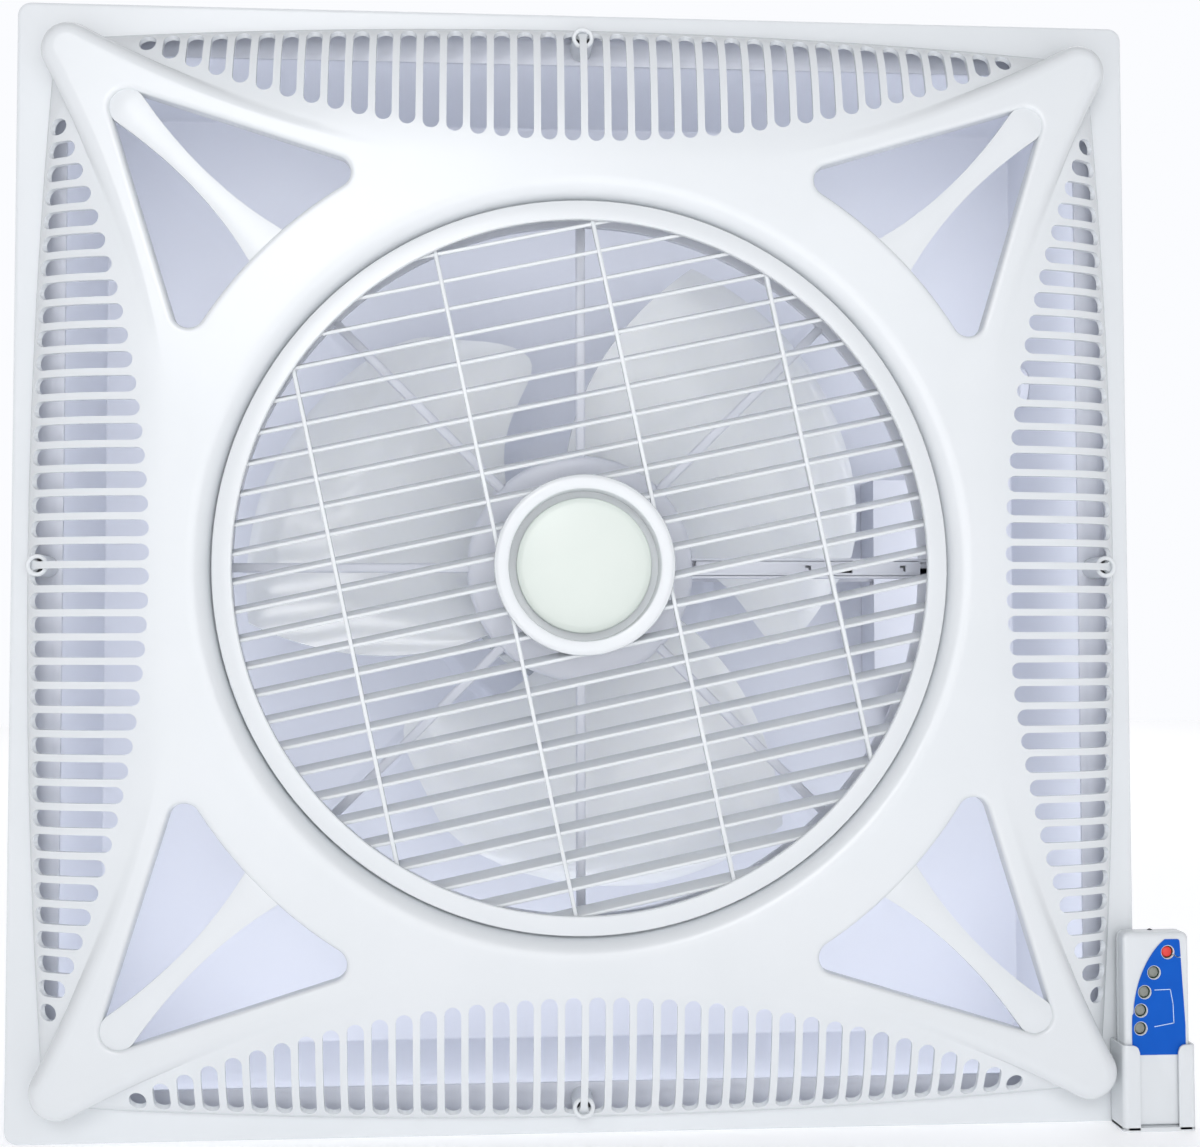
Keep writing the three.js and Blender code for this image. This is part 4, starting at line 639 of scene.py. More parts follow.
# Powder coat: an even eggshell with a fine pebbled skin. Its lavender tint is painted shade,
# the blue cast of the dim inside of the box, put into both tones.
shade_tinted_coat = moulded("powder coated sheet steel", ("#DEE1EB", "#E5E8F0"), 0.42, 90, 1.1, 0.02)
stand_up(box)
piece(box, "pressed_steel_box", "frame", "housing_paint", shade_tinted_coat, "rear_housing")

# ---- Guard spider ----
# One white polypropylene moulding behind the louvre: outer ring, eight slender arms and the drum
# of the louvre motor. The right arm is a channel for the motor's wires.
GUARD = {"front": -15, "in": 186, "out": 209.5, "ring": 3, "arm": 5, "depth": 6}
DRUM = {"r": 61.4, "depth": 22, "wall": 2.5, "hole": 7.5}
DUCT = {"width": 11, "depth": 8, "wall": 1.4, "from": 62.4, "to": 199.5}


def bar(bm, low, high, bevel, segments=2, matrix=None):
    """Block between two corners with rounded edges."""
    made = bmesh.new()
    low, high = Vector(low), Vector(high)
    bmesh.ops.create_cube(made, size=1, matrix=Matrix.Translation((low + high) / 2)
                          @ Matrix.Diagonal((*(high - low), 1)))
    soften(made, made.edges[:], bevel, segments)
    if matrix:
        bmesh.ops.transform(made, matrix=matrix, verts=made.verts)
    add_sheet(bm, made)


guard = bmesh.new()
front, drum_back = GUARD["front"], GUARD["front"] - DRUM["depth"]
hoop = [disc(GUARD["in"], 144), disc(GUARD["out"], 144)]
bolts = [disc(SCREW_BORE, 16, GUARD_POST["at"] * x, GUARD_POST["at"] * y)
         for x, y in ((0, 1), (-1, 0), (0, -1))]
solid_sheet(guard, hoop + bolts, front - GUARD["ring"], front, 0.6)
turned(guard, [(DRUM["hole"], front), (DRUM["r"] - 3.5, front), (DRUM["r"] - 1.6, front - 0.4),
               (DRUM["r"] - 0.5, front - 1.4), (DRUM["r"], front - 3), (DRUM["r"], drum_back),
               (DRUM["r"] - DRUM["wall"], drum_back),
               (DRUM["r"] - DRUM["wall"], front - DRUM["wall"]),
               (DRUM["hole"], front - DRUM["wall"])], 96)
for k in range(1, 8):
    bar(guard, (DRUM["r"] - 1.5, -GUARD["arm"] / 2, front - GUARD["depth"]),
        (GUARD["in"] + 2, GUARD["arm"] / 2, front), 1.2, 3,
        Matrix.Rotation(radians(45 * k), 4, "Z"))
for side in (-1, 1):
    inner, outer = sorted((side * (DUCT["width"] / 2 - DUCT["wall"]), side * DUCT["width"] / 2))
    bar(guard, (DRUM["r"] - 1.2, inner, front - DUCT["depth"]),
        (GUARD["out"] - 1, outer, front), 0.4)
bar(guard, (DRUM["r"] - 1.2, -DUCT["width"] / 2 + 0.2, front - DUCT["depth"]),
    (GUARD["out"] - 1, DUCT["width"] / 2 - 0.2, front - DUCT["depth"] + DUCT["wall"]), 0.3)
# Polypropylene: whiter than the box but waxy and less glossy than the panel.
waxy_pp = moulded("white moulded polypropylene", ("#E2E5EF", "#ECEEF5"), 0.38, 30, 1.4, 0.02,
                  IOR=1.49)
stand_up(guard)
piece(guard, "moulded_guard", "frame", "guard_white", waxy_pp, "guard")
# Bright zinc: cool, slightly mottled by its passivated skin.
zinc = metal("bright zinc plated steel", ("#A4A9AE", "#C2C6C9"), 0.34, 1.5, 0.01)
for k in range(4):
    under = DUCT["depth"] if k == 0 else GUARD["ring"]
    bm = pan_screw(3.4, 2, 1.5, under + 8)
    rotate(bm, 180, "X")
    stand_up(bm, (GUARD_POST["at"] * cos(pi * k / 2), GUARD_POST["at"] * sin(pi * k / 2),
                  front - under - FIT))
    piece(bm, f"guard_fixing_screw_{k + 1}", "frame", "zinc_steel", zinc, f"guard_screw_{k + 1}")

# ---- Wire duct cover and receiver ----
# A thin white strip snaps into the channel of the right arm. Three square holes take its
# latches, and the dark window of the infrared receiver looks out between them.
LATCHES = {"at": (72, 124.5, 177), "half": 1.6}
RECEIVER = {"at": 145, "length": 7.4, "width": 4.4, "depth": 4, "sunk": 0.6}
strip_half = DUCT["width"] / 2 - DUCT["wall"] - FIT


def oblong(x0, y0, x1, y1):
    return [(x1, y0), (x1, y1), (x0, y1), (x0, y0)]


cover = bmesh.new()
cut_outs = [oblong(x - LATCHES["half"], -LATCHES["half"], x + LATCHES["half"], LATCHES["half"])
            for x in LATCHES["at"]]
reach, half = RECEIVER["length"] / 2 + FIT, RECEIVER["width"] / 2 + FIT
cut_outs.append(oblong(RECEIVER["at"] - reach, -half, RECEIVER["at"] + reach, half))
strip = oblong(DUCT["from"] + FIT, -strip_half, DUCT["to"] - FIT, strip_half)
solid_sheet(cover, [strip] + cut_outs, front - 1.6, front, 0.25)
for x in LATCHES["at"]:
    bar(cover, (x - 1.8, -1.8, -6), (x + 0.3, 0.3, -0.5), 0.15, 1,
        Matrix.Translation((0, 0, front)))
stand_up(cover)
piece(cover, "snap_in_duct_cover", "frame", "guard_white", waxy_pp, "wire_duct_cover")
receiver = bmesh.new()
bar(receiver, (-RECEIVER["length"] / 2, -RECEIVER["width"] / 2, -RECEIVER["depth"]),
    (RECEIVER["length"] / 2, RECEIVER["width"] / 2, -RECEIVER["sunk"]), 0.5, 3)
# Smoked acrylic: nearly black, with a sharp reflection that hides the sensor behind it.
smoked = moulded("smoked acrylic window", ("#101116", "#1A1B22"), 0.12, 4, 1.0, 0.002, IOR=1.49)
stand_up(receiver, (RECEIVER["at"], 0, front))
piece(receiver, "smoked_receiver_window", "frame", "dark_plastic", smoked, "ir_receiver")

# ---- Louvre motor ----
# A flat synchronous geared motor in a zinc plated can, held by two ears inside the drum, behind
# a snap-on lid. It turns the grille a few times a minute.
MOTOR_SEAT = front - DRUM["wall"] - FIT
GEARED = {"r": 24.5, "t": 15, "bore": 3.85, "ear": 29.5}
can = bmesh.new()
low, high, r = MOTOR_SEAT - GEARED["t"], MOTOR_SEAT, GEARED["r"]
turned(can, [(GEARED["bore"], low), (r - 1.5, low), (r - 0.4, low + 0.4), (r, low + 1.5),
             (r, high - 3), (r - 0.8, high - 2.4), (r - 0.8, high - 1.6), (r, high - 1),
             (r - 0.4, high), (GEARED["bore"], high)], 64)
for side in (-1, 1):
    ear = [(5 * cos(radians(a)), side * (GEARED["ear"] + 5 * sin(radians(a))))
           for a in range(0, 181, 15)] + [(-5, side * (r - 1)), (5, side * (r - 1))]
    solid_sheet(can, [ear, disc(SCREW_BORE, 16, 0, side * GEARED["ear"])], high - 1.2, high)
stand_up(can)
piece(can, "louvre_gear_motor", "frame", "zinc_steel", zinc, "louvre_motor")
for k, side in enumerate((1, -1)):
    bm = pan_screw(3.2, 1.8, 1.5, DRUM["wall"] + 2)
    rotate(bm, 180, "X")
    stand_up(bm, (0, side * GEARED["ear"], MOTOR_SEAT - 1.5))
    piece(bm, f"gear_motor_screw_{k + 1}", "frame", "zinc_steel", zinc,
          f"louvre_motor_screw_{k + 1}")
lid = bmesh.new()
z = drum_back - FIT
turned(lid, [(0, z), (DRUM["r"], z), (DRUM["r"], z - 1.2), (DRUM["r"] - 0.8, z - 2.1),
             (DRUM["r"] - 3, z - 2.5), (30, z - 2.5), (28.5, z - 1.7), (26, z - 1.7),
             (24.5, z - 2.5), (0, z - 2.5)], 96, closed=False)
stand_up(lid)
piece(lid, "gear_motor_lid", "frame", "guard_white", waxy_pp, "louvre_motor_cover")

# ---- Louvre grille ----
# One glossy white moulding that turns slowly and spreads the air: a flanged hoop, 25 tilted slats,
# four cross bars and a hub cup. It happens to have stopped 12 degrees round.
GRILLE = {"r": 191.3, "rim": 10.3, "wall": 2, "front": 22, "back": 2, "turn": 12}
SLATS = {"count": 25, "pitch": 14.67, "t": 2, "depth": 13, "tilt": 13, "front": 18.5}
BARS = {"count": 4, "pitch": 84.2, "width": 2.2, "depth": 4.5}
HUB = {"r": 47, "in": 39.3, "front": 27, "floor": 11, "back": 8, "socket": -8, "bore": 3.8}


def past_hub(across, reach):
    """Stretches of a slat or a cross bar on either side of the hub."""
    if abs(across) >= HUB["r"] - 3:
        return [(-reach, reach)]
    gap = sqrt((HUB["r"] - 2) ** 2 - across ** 2)
    return [(-reach, -gap), (gap, reach)]


grille = bmesh.new()
r, front_z, wall = GRILLE["r"], GRILLE["front"], GRILLE["wall"]
turned(grille, [(r - GRILLE["rim"], front_z - 0.5), (r - GRILLE["rim"] + 0.5, front_z),
                (r - 1.5, front_z), (r - 0.5, front_z - 0.4), (r, front_z - 1.5),
                (r, GRILLE["back"] + 0.5), (r - 0.5, GRILLE["back"]),
                (r - wall + 0.5, GRILLE["back"]), (r - wall, GRILLE["back"] + 0.5),
                (r - wall, front_z - 3),
                (r - GRILLE["rim"], front_z - 3)], 160)
end_r = r - wall / 2 - 0.2
for k in range(SLATS["count"]):
    across = (k - (SLATS["count"] - 1) / 2) * SLATS["pitch"]
    reach = sqrt(end_r ** 2 - (abs(across) + 1) ** 2)
    tilt = Matrix.Translation((0, across, SLATS["front"] - SLATS["depth"] / 2)) @ Matrix.Rotation(
        radians(SLATS["tilt"]), 4, "X")
    for x0, x1 in past_hub(across, reach):
        bar(grille, (x0, -SLATS["t"] / 2, -SLATS["depth"] / 2),
            (x1, SLATS["t"] / 2, SLATS["depth"] / 2), 0.7, 3, tilt)
for k in range(BARS["count"]):
    across = (k - (BARS["count"] - 1) / 2) * BARS["pitch"]
    reach = sqrt(end_r ** 2 - across ** 2)
    high = SLATS["front"] + 0.4
    for y0, y1 in past_hub(across, reach):
        bar(grille, (across - BARS["width"] / 2, y0, high - BARS["depth"]),
            (across + BARS["width"] / 2, y1, high), 0.6, 2)
slat_back = SLATS["front"] - SLATS["depth"]
hub_r, hub_in = HUB["r"], HUB["in"]
turned(grille, [(HUB["bore"], HUB["socket"]), (HUB["bore"] + 5, HUB["socket"]),
                (HUB["bore"] + 5, HUB["back"]), (hub_r - 2.5, HUB["back"]),
                (hub_r - 2.5, slat_back), (hub_r, slat_back), (hub_r, HUB["front"] - 2),
                (hub_r - 0.4, HUB["front"] - 0.8), (hub_r - 1.4, HUB["front"] - 0.2),
                (hub_r - 2.4, HUB["front"]), (hub_in + 1.4, HUB["front"]),
                (hub_in + 0.4, HUB["front"] - 0.4), (hub_in, HUB["front"] - 1.4),
                (hub_in, HUB["floor"]), (SCREW_BORE, HUB["floor"]),
                (SCREW_BORE, HUB["back"] - 2), (HUB["bore"], HUB["back"] - 2)], 96)
spin_back = Matrix.Rotation(radians(GRILLE["turn"]), 4, "Z")
bmesh.ops.transform(grille, matrix=spin_back, verts=grille.verts)
stand_up(grille)
piece(grille, "turning_louvre_grille", "louvre", "louvre_white", gloss_abs, "louvre_grille")
bm = pan_screw(4, 2, 1.8, 4.5)
stand_up(bm, (0, 0, HUB["floor"] + FIT))
piece(bm, "grille_screw", "louvre", "zinc_steel", zinc, "louvre_screw")

# ---- Hub cap ----
# A shallow dome pressed into the hub cup over the grille's screw, moulded in a faintly green
# white satin plastic. A dark groove is left round it.
CAP = {"r": 35.4, "dome": 10}
cap = bmesh.new()
r, top = CAP["r"], HUB["floor"] + CAP["dome"]
dome = [(r * 0.97 * sin(radians(a)) / sin(radians(50)),
         top - 2.4 * (1 - cos(radians(a))) / (1 - cos(radians(50)))) for a in range(0, 51, 5)]
turned(cap, dome + [(r - 0.3, top - 3), (r, top - 4), (r, HUB["floor"] + FIT),
                    (r - 2, HUB["floor"] + FIT), (r - 2, top - 6), (0, top - 5.5)], 120,
       closed=False)
satin = moulded("satin greenish white ABS", ("#D3DBD5", "#D9E0DA"), 0.33, 25, 0.9, 0.008, IOR=1.53)
stand_up(cap)
piece(cap, "domed_hub_cap", "louvre", "hub_disc", satin, "hub_cap")

# ---- Fan blades ----
# Hub and three broad petals in one moulding of translucent glossy plastic. Each petal is wound
# from a deep leading edge to a trailing edge that lies in front.
FAN = {"reach": 186, "t": 2, "front": -56, "back": -100, "hub": 42, "wall": 2.5}
SHAFT_BORE = 5.35               # what turns on the fan motor's shaft
LEADING = [(0.215, 138), (0.45, 119), (0.68, 101), (0.83, 116), (0.92, 129), (1, 166)]
TRAILING = [(0.215, 218), (0.4, 213), (1, 189)]


def spline(pairs, share):
    """Smooth curve through the pairs, at a share of the way along their count."""
    place = share * (len(pairs) - 1)
    i = min(int(place), len(pairs) - 2)
    t = place - i
    p = [pairs[max(i - 1, 0)], pairs[i], pairs[i + 1], pairs[min(i + 2, len(pairs) - 1)]]
    return [0.5 * (2 * p[1][k] + (p[2][k] - p[0][k]) * t
                   + (2 * p[0][k] - 5 * p[1][k] + 4 * p[2][k] - p[3][k]) * t * t
                   + (3 * p[1][k] - p[0][k] - 3 * p[2][k] + p[3][k]) * t ** 3) for k in (0, 1)]


def edge_angle(pairs, r):
    low, high = 0, 1
    for _ in range(40):
        middle = (low + high) / 2
        low, high = (middle, high) if spline(pairs, middle)[0] < r else (low, middle)
    return radians(spline(pairs, low)[1])


petals = bmesh.new()
rows, columns = 40, 28
for blade in range(3):
    sheet = bmesh.new()
    bmesh.ops.create_grid(sheet, x_segments=rows, y_segments=columns, size=0.5)
    for vert in sheet.verts:
        share = 0.223 + 0.775 * sin((vert.co.x + 0.5) * pi / 2)
        across = vert.co.y + 0.5
        start, end = edge_angle(LEADING, share), edge_angle(TRAILING, share)
        wide = min((end - start) / radians(80), 1)
        sweep = (FAN["front"] - FAN["back"] - FAN["t"]) * (0.35 + 0.65 * wide)
        angle = start + across * (end - start) + radians(120 * blade)
        r = share * FAN["reach"]
        vert.co = (r * cos(angle), r * sin(angle),
                   FAN["front"] - FAN["t"] / 2 - sweep * (1 - across) ** 1.15)
    bmesh.ops.recalc_face_normals(sheet, faces=sheet.faces)
    if sheet.faces[0].normal.z < 0:
        bmesh.ops.reverse_faces(sheet, faces=sheet.faces)
    bmesh.ops.translate(sheet, vec=(0, 0, FAN["t"] / 2), verts=sheet.verts)
    bmesh.ops.solidify(sheet, geom=sheet.faces[:], thickness=FAN["t"])
    add_sheet(petals, sheet)
hub_front, hub_back, r = FAN["front"] + 3, FAN["back"] + 2, FAN["hub"]
turned(petals, [(SHAFT_BORE, hub_back), (12, hub_back), (12, hub_front - 5),
                (r - FAN["wall"], hub_front - 5), (r - FAN["wall"], hub_back), (r, hub_back),
                (r, hub_front - 4), (r - 0.6, hub_front - 2), (r - 2, hub_front - 0.6),
                (r - 4, hub_front), (SHAFT_BORE, hub_front)], 72)
# Styrene acrylonitrile: light comes through the petals, and their gloss is glassy.
milky = moulded("translucent milky blade plastic", ("#F1F5F8", "#F7F9FB"), 0.14, 45, 3, 0.01,
                IOR=1.57, **{"Subsurface Weight": 0.25, "Subsurface Radius": (0.006, 0.006, 0.008),
                             "Subsurface Scale": 1.0})
stand_up(petals)
piece(petals, "petal_fan", "rotor", "blade_plastic", milky, "fan_blade")

# ---- Blade nut ----
# A left-hand plastic nut with grip ribs clamps the petals on the motor shaft.
NUT = {"r": 14, "length": 10}
nut = bmesh.new()
z = hub_front + FIT
grip = disc(NUT["r"], 72), disc(NUT["r"] - 0.9, 72)
rim = [grip[k % 4 in (0, 3)][k] for k in range(72)]
solid_sheet(nut, [rim, disc(SHAFT_BORE, 32)], z, z + NUT["length"] - 3)
crown = [(x * 0.98, y * 0.98) for x, y in rim]
solid_sheet(nut, [crown], z + NUT["length"] - 3, z + NUT["length"], 1.2, 3)
stand_up(nut)
piece(nut, "ribbed_blade_nut", "rotor", "blade_plastic", waxy_pp, "blade_nut")

# ---- Shafts, bearings and motor ----
# A capacitor motor in a case of two die-cast halves, bolted through four feet to a zinc plated
# plate on the box's pad. Its laminated stator is clamped between the halves.
MOTOR = {"r": 54, "wall": 2, "front": -104, "back": -158.9, "feet": 60, "plate": 2}
STACK = {"low": MOTOR["back"] + 14, "high": MOTOR["front"] - 14, "bore": 29.6}
SHAFT_R = 5
half_depth = (MOTOR["front"] - MOTOR["back"] - FIT) / 2

# Ground shaft steel: bright, with fine rings round it.
ground_steel = metal("ground steel", ("#8C9197", "#B4B8BC"), 0.24, 0.5, 0.004, (1, 8, 1))
# Die-cast aluminium: grey and grainy from the mould, never polished.
cast_alu = metal("die cast aluminium", ("#A6AAB0", "#C3C6CB"), 0.5, 0.9, 0.03)
# Stacked sheets seen edge on: fine dark lines across the axis.
laminated = metal("laminated electrical steel", ("#494C53", "#74787F"), 0.5, 0.5, 0.05,
                  (0.05, 1, 0.05))
rod_end = 0.6
shaft = bmesh.new()
low, high = MOTOR["back"] + MOTOR["wall"] + 1, hub_front + NUT["length"] - 3
turned(shaft, [(0, low), (SHAFT_R - rod_end, low), (SHAFT_R, low + rod_end),
               (SHAFT_R, high - rod_end), (SHAFT_R - rod_end, high), (0, high)], 40, closed=False)
stand_up(shaft)
piece(shaft, "fan_motor_shaft", "rotor", "bearing_steel", ground_steel, "motor_shaft")
shaft = bmesh.new()
low, high = MOTOR_SEAT - GEARED["t"] + 2, HUB["back"] - 2.3
turned(shaft, [(0, low), (3.1, low), (3.5, low + 0.4), (3.5, high - 0.4), (3.1, high), (0, high)],
       32, closed=False)
stand_up(shaft)
piece(shaft, "louvre_drive_shaft", "louvre", "bearing_steel", ground_steel, "louvre_shaft")


def case_half(depth):
    """Half of the motor case: end face at zero, open rim at `depth`, cooling slots in the end."""
    made = bmesh.new()
    r, wall, seat = MOTOR["r"], MOTOR["wall"], 11
    turned(made, [(7, 0), (r - 5, 0), (r - 1.5, 0.8), (r - 0.4, 2.2), (r, 4.5), (r, depth),
                  (r - wall, depth), (r - wall, wall + 2), (r - wall - 2, wall), (seat + 2, wall),
                  (seat + 2, wall + 7), (seat, wall + 7), (seat, wall), (7, wall)], 72)
    for k in range(12):
        bar(made, (22, -1.2, -0.001), (r - 8, 1.2, 0.9), 0.4, 1,
            Matrix.Rotation(radians(30 * k + 15), 4, "Z"))
    return made


rear = case_half(half_depth)
for k in range(4):
    aim = Matrix.Rotation(radians(45 + 90 * k), 2)
    foot = [(65, 4), (63, 6), (50, 6), (50, -6), (63, -6), (65, -4)]
    hole = disc(SCREW_BORE, 16, MOTOR["feet"])
    solid_sheet(rear, [[aim @ Vector(p) for p in ring] for ring in (foot, hole)], 0, 2.5, 0.5)
stand_up(rear, (0, 0, MOTOR["back"]))
piece(rear, "cast_rear_case", "frame", "motor_aluminium", cast_alu, "motor_rear_shell")
fore = case_half(half_depth)
rotate(fore, 180, "X")
stand_up(fore, (0, 0, MOTOR["front"]))
piece(fore, "cast_front_case", "frame", "motor_aluminium", cast_alu, "motor_front_shell")
for name, inner, outer, body in (("motor_stator", STACK["bore"], MOTOR["r"] - 2.3, "frame"),
                                 ("motor_rotor", SHAFT_BORE, STACK["bore"] - 0.6, "rotor")):
    core = bmesh.new()
    turned(core, [(inner, STACK["low"]), (outer - 0.6, STACK["low"]), (outer, STACK["low"] + 0.6),
                  (outer, STACK["high"] - 0.6), (outer - 0.6, STACK["high"]),
                  (inner, STACK["high"])], 64)
    stand_up(core)
    piece(core, f"laminated_{name}", body, "lamination_steel", laminated, name)
for name, low in (("rear", MOTOR["back"] + 2.3), ("front", MOTOR["front"] - 8.3)):
    race = bmesh.new()
    profile = [(SHAFT_BORE, low), (7, low), (7.2, low + 0.6), (8.8, low + 0.6), (9, low),
               (10.5, low), (10.7, low + 0.3), (10.7, low + 5.7), (10.5, low + 6), (9, low + 6),
               (8.8, low + 5.4), (7.2, low + 5.4), (7, low + 6), (SHAFT_BORE, low + 6)]
    turned(race, profile, 48)
    stand_up(race)
    piece(race, f"ball_bearing_{name}", "frame", "bearing_steel", ground_steel,
          f"motor_bearing_{name}")
plate = bmesh.new()
holes = [disc(SCREW_BORE, 16, MOTOR["feet"] * cos(radians(45 + 90 * q)),
              MOTOR["feet"] * sin(radians(45 + 90 * q))) for q in range(4)]
z = MOTOR["back"] - FIT - MOTOR["plate"]
solid_sheet(plate, [disc(66, 72)] + holes, z, z + MOTOR["plate"], 0.3)
stand_up(plate)
piece(plate, "motor_mounting_plate", "frame", "zinc_steel", zinc, "motor_mount")
for k in range(4):
    bm = pan_screw(3.6, 2.4, 1.8, 4.7)
    stand_up(bm, (MOTOR["feet"] * cos(radians(45 + 90 * k)),
                  MOTOR["feet"] * sin(radians(45 + 90 * k)), MOTOR["back"] + 2.8))
    piece(bm, f"motor_foot_screw_{k + 1}", "frame", "zinc_steel", zinc, f"motor_screw_{k + 1}")

# ---- Control box, board and capacitor ----
# The mains board stands in a lidded moulded box at the right of the steel box, with the run
# capacitor strapped below it.
CONTROL = {"width": 66, "height": 120, "depth": 32, "wall": 1.8, "at": 222, "back": -166.2}
x, y, wall = CONTROL["width"] / 2, CONTROL["height"] / 2, CONTROL["wall"]
tray = bmesh.new()
outer = oblong(-x, -y, x, y)
inner = oblong(wall - x, wall - y, x - wall, y - wall)
solid_sheet(tray, [outer], 0, wall)
solid_sheet(tray, [outer, inner], wall - 0.01, CONTROL["depth"] - 8)
notched = [(x, -y), (x, y), (-x, y), (-x, 8), (wall - x, 8), (wall - x, y - wall),
           (x - wall, y - wall), (x - wall, wall - y), (wall - x, wall - y), (wall - x, -8),
           (-x, -8), (-x, -y)]
solid_sheet(tray, [notched], CONTROL["depth"] - 8.01, CONTROL["depth"], 0.3)
stand_up(tray, (CONTROL["at"], 0, CONTROL["back"]))
piece(tray, "control_tray", "frame", "box_white", waxy_pp, "control_box")
lid = bmesh.new()
z = CONTROL["depth"] + FIT
solid_sheet(lid, [outer], z, z + wall, 0.8, 3)
lip, hollow = wall + FIT, 2 * (wall + FIT)
solid_sheet(lid, [[(x - lip, lip - y), (x - lip, y - lip), (lip - x, y - lip), (lip - x, 8),
                   (hollow - x, 8), (hollow - x, y - hollow), (x - hollow, y - hollow),
                   (x - hollow, hollow - y), (hollow - x, hollow - y), (hollow - x, -8),
                   (lip - x, -8), (lip - x, lip - y)]], CONTROL["depth"] - 4, z + 0.01)
stand_up(lid, (CONTROL["at"], 0, CONTROL["back"]))
piece(lid, "control_tray_lid", "frame", "box_white", waxy_pp, "control_box_cover")
# Solder resist over glass cloth: green, glossy, with a faint woven mottle.
resist = moulded("green solder resist", ("#245C3A", "#347A4E"), 0.28, 3, 0.4, 0.01)
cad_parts["control_board"].data.materials[0] = resist
capacitor = bmesh.new()
turned(capacitor, [(0, -26), (13.6, -26), (14.7, -25.2), (15, -24), (15, 23), (14.6, 24.4),
                   (13.8, 25), (12.6, 25), (12.2, 24.2), (5, 24.2), (4.6, 26), (0, 26)], 56,
       closed=False)
rotate(capacitor, -90, "X")
dark_abs = moulded("dark moulded plastic", ("#1A1C21", "#26282E"), 0.36, 20, 0.8, 0.012)
stand_up(capacitor, (CONTROL["at"], -y - 12 - 26, CONTROL["back"] + 15))
piece(capacitor, "run_capacitor", "frame", "dark_plastic", dark_abs, "motor_capacitor")

# ---- Motor lead ----
# A sheathed PVC lead that is laid along the box's back from the motor to the control box.
sheath = moulded("pale PVC lead sheath", ("#D2D3D9", "#DFE0E5"), 0.45, 12, 1.2, 0.02)
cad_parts["motor_lead"].data.materials[0] = sheath

# ---- Cable gland ----
# Moulded nylon gland in the box's right side: threaded neck, lock nut inside, and outside a
# ribbed dome that is screwed down on the cord.
gland = bmesh.new()
turned(gland, [(3.6, -6.3), (11, -6.3), (12, -5.5), (12, -0.9), (11.4, -0.3), (9, -0.3),
               (9, 1.8), (12.4, 1.8), (13, 2.4), (13, 4.2), (12.6, 4.8), (11.6, 6.2),
               (10.4, 8.4), (8.6, 10.4), (7.2, 11), (4.4, 11), (3.6, 10.4)], 72)
for k in range(24):
    bar(gland, (11.4, -0.5, 2.6), (12.95, 0.5, 4.9), 0.25, 1,
        Matrix.Rotation(radians(15 * k), 4, "Z"))
rotate(gland, 90, "Y")
stand_up(gland, (BOX["half"] - BOX["wall"], 120, -BOX["depth"] + 28))
piece(gland, "ribbed_cord_gland", "frame", "box_white", waxy_pp, "cable_gland")

# ---- Hanger brackets ----
# Four angles of zinc plated sheet, riveted to the box's sides near its back. The drop rods or
# wires from the ceiling take the weight through the holes in their feet.
HANGER = {"width": 26, "length": 42, "ear": 11, "sheet": 2, "rise": 215}
for k, (sx, sy) in enumerate(((1, 1), (-1, 1), (-1, -1), (1, -1))):
    bracket = bmesh.new()
    w, t = HANGER["width"] / 2, HANGER["sheet"]
    leg = [(0, -w), (HANGER["length"] - 4, -w)]
    leg += [(HANGER["length"] - 4 + 4 * cos(radians(a)), -w + 4 + 4 * sin(radians(a)))
            for a in range(-75, 1, 15)]
    leg += [(p[0], -p[1]) for p in reversed(leg)]
    solid_sheet(bracket, [leg], 0, t, 0.3)
    bmesh.ops.transform(bracket, verts=bracket.verts,
                        matrix=Matrix(((0, 0, 1, 0), (0, 1, 0, 0), (1, 0, 0, 0), (0, 0, 0, 1))))
    foot = [(0, -w)] + [(HANGER["ear"] - 3 + 3 * cos(radians(a)), -w + 3 + 3 * sin(radians(a)))
                        for a in range(-90, 1, 15)]
    foot += [(p[0], -p[1]) for p in reversed(foot)]
    solid_sheet(bracket, [foot, disc(2.6, 24, (HANGER["ear"] + t) / 2)], 0, t, 0.3)
    rivets = bmesh.new()
    for z in (HANGER["length"] * 0.4, HANGER["length"] * 0.8):
        turned(rivets, [(0, t + 1), (1.2, t + 0.9), (2, t + 0.5), (2.4, t - 0.1), (0, t - 0.1)], 20,
               (-z, 0, 0), closed=False)
    rotate(rivets, 90, "Y")
    add_sheet(bracket, rivets)
    if sx < 0:
        rotate(bracket, 180, "Z")
    bmesh.ops.recalc_face_normals(bracket, faces=bracket.faces)
    stand_up(bracket, (sx * (BOX["half"] + FIT), sy * HANGER["rise"], -BOX["depth"]))
    piece(bracket, f"riveted_hanger_{k + 1}", "frame", "zinc_steel", zinc,
          f"hanger_bracket_{k + 1}")

# ---- Handset holder ----
# A thin glossy white moulding that stands with its back to the panel's border: a tray with two
# side arms that curl round the handset, open in the middle.
HOLDER = {"width": 39.2, "depth": 19.5, "height": 45, "wall": 1.6, "arm": 9.2, "floor": 2.2,
          "corner": 2.6, "shoulder": 4, "overlap": 14.2}
REMOTE_X = HALF - HOLDER["overlap"] + HOLDER["width"] / 2


def place_remote(bm):
    """Millimetres from the middle of the holder's back foot to metres in the world."""
    bmesh.ops.transform(bm, matrix=Matrix.Scale(MM, 4)
                        @ Matrix.Translation((REMOTE_X, -FIT, -HALF)), verts=bm.verts)


width, depth, arm = HOLDER["width"], HOLDER["depth"], HOLDER["arm"]
r, shoulder = HOLDER["corner"], HOLDER["shoulder"]
corner_run = r * pi / 2
legs = [arm - r, corner_run, depth - 2 * r, corner_run, width - 2 * r, corner_run, depth - 2 * r,
        corner_run, arm - r]


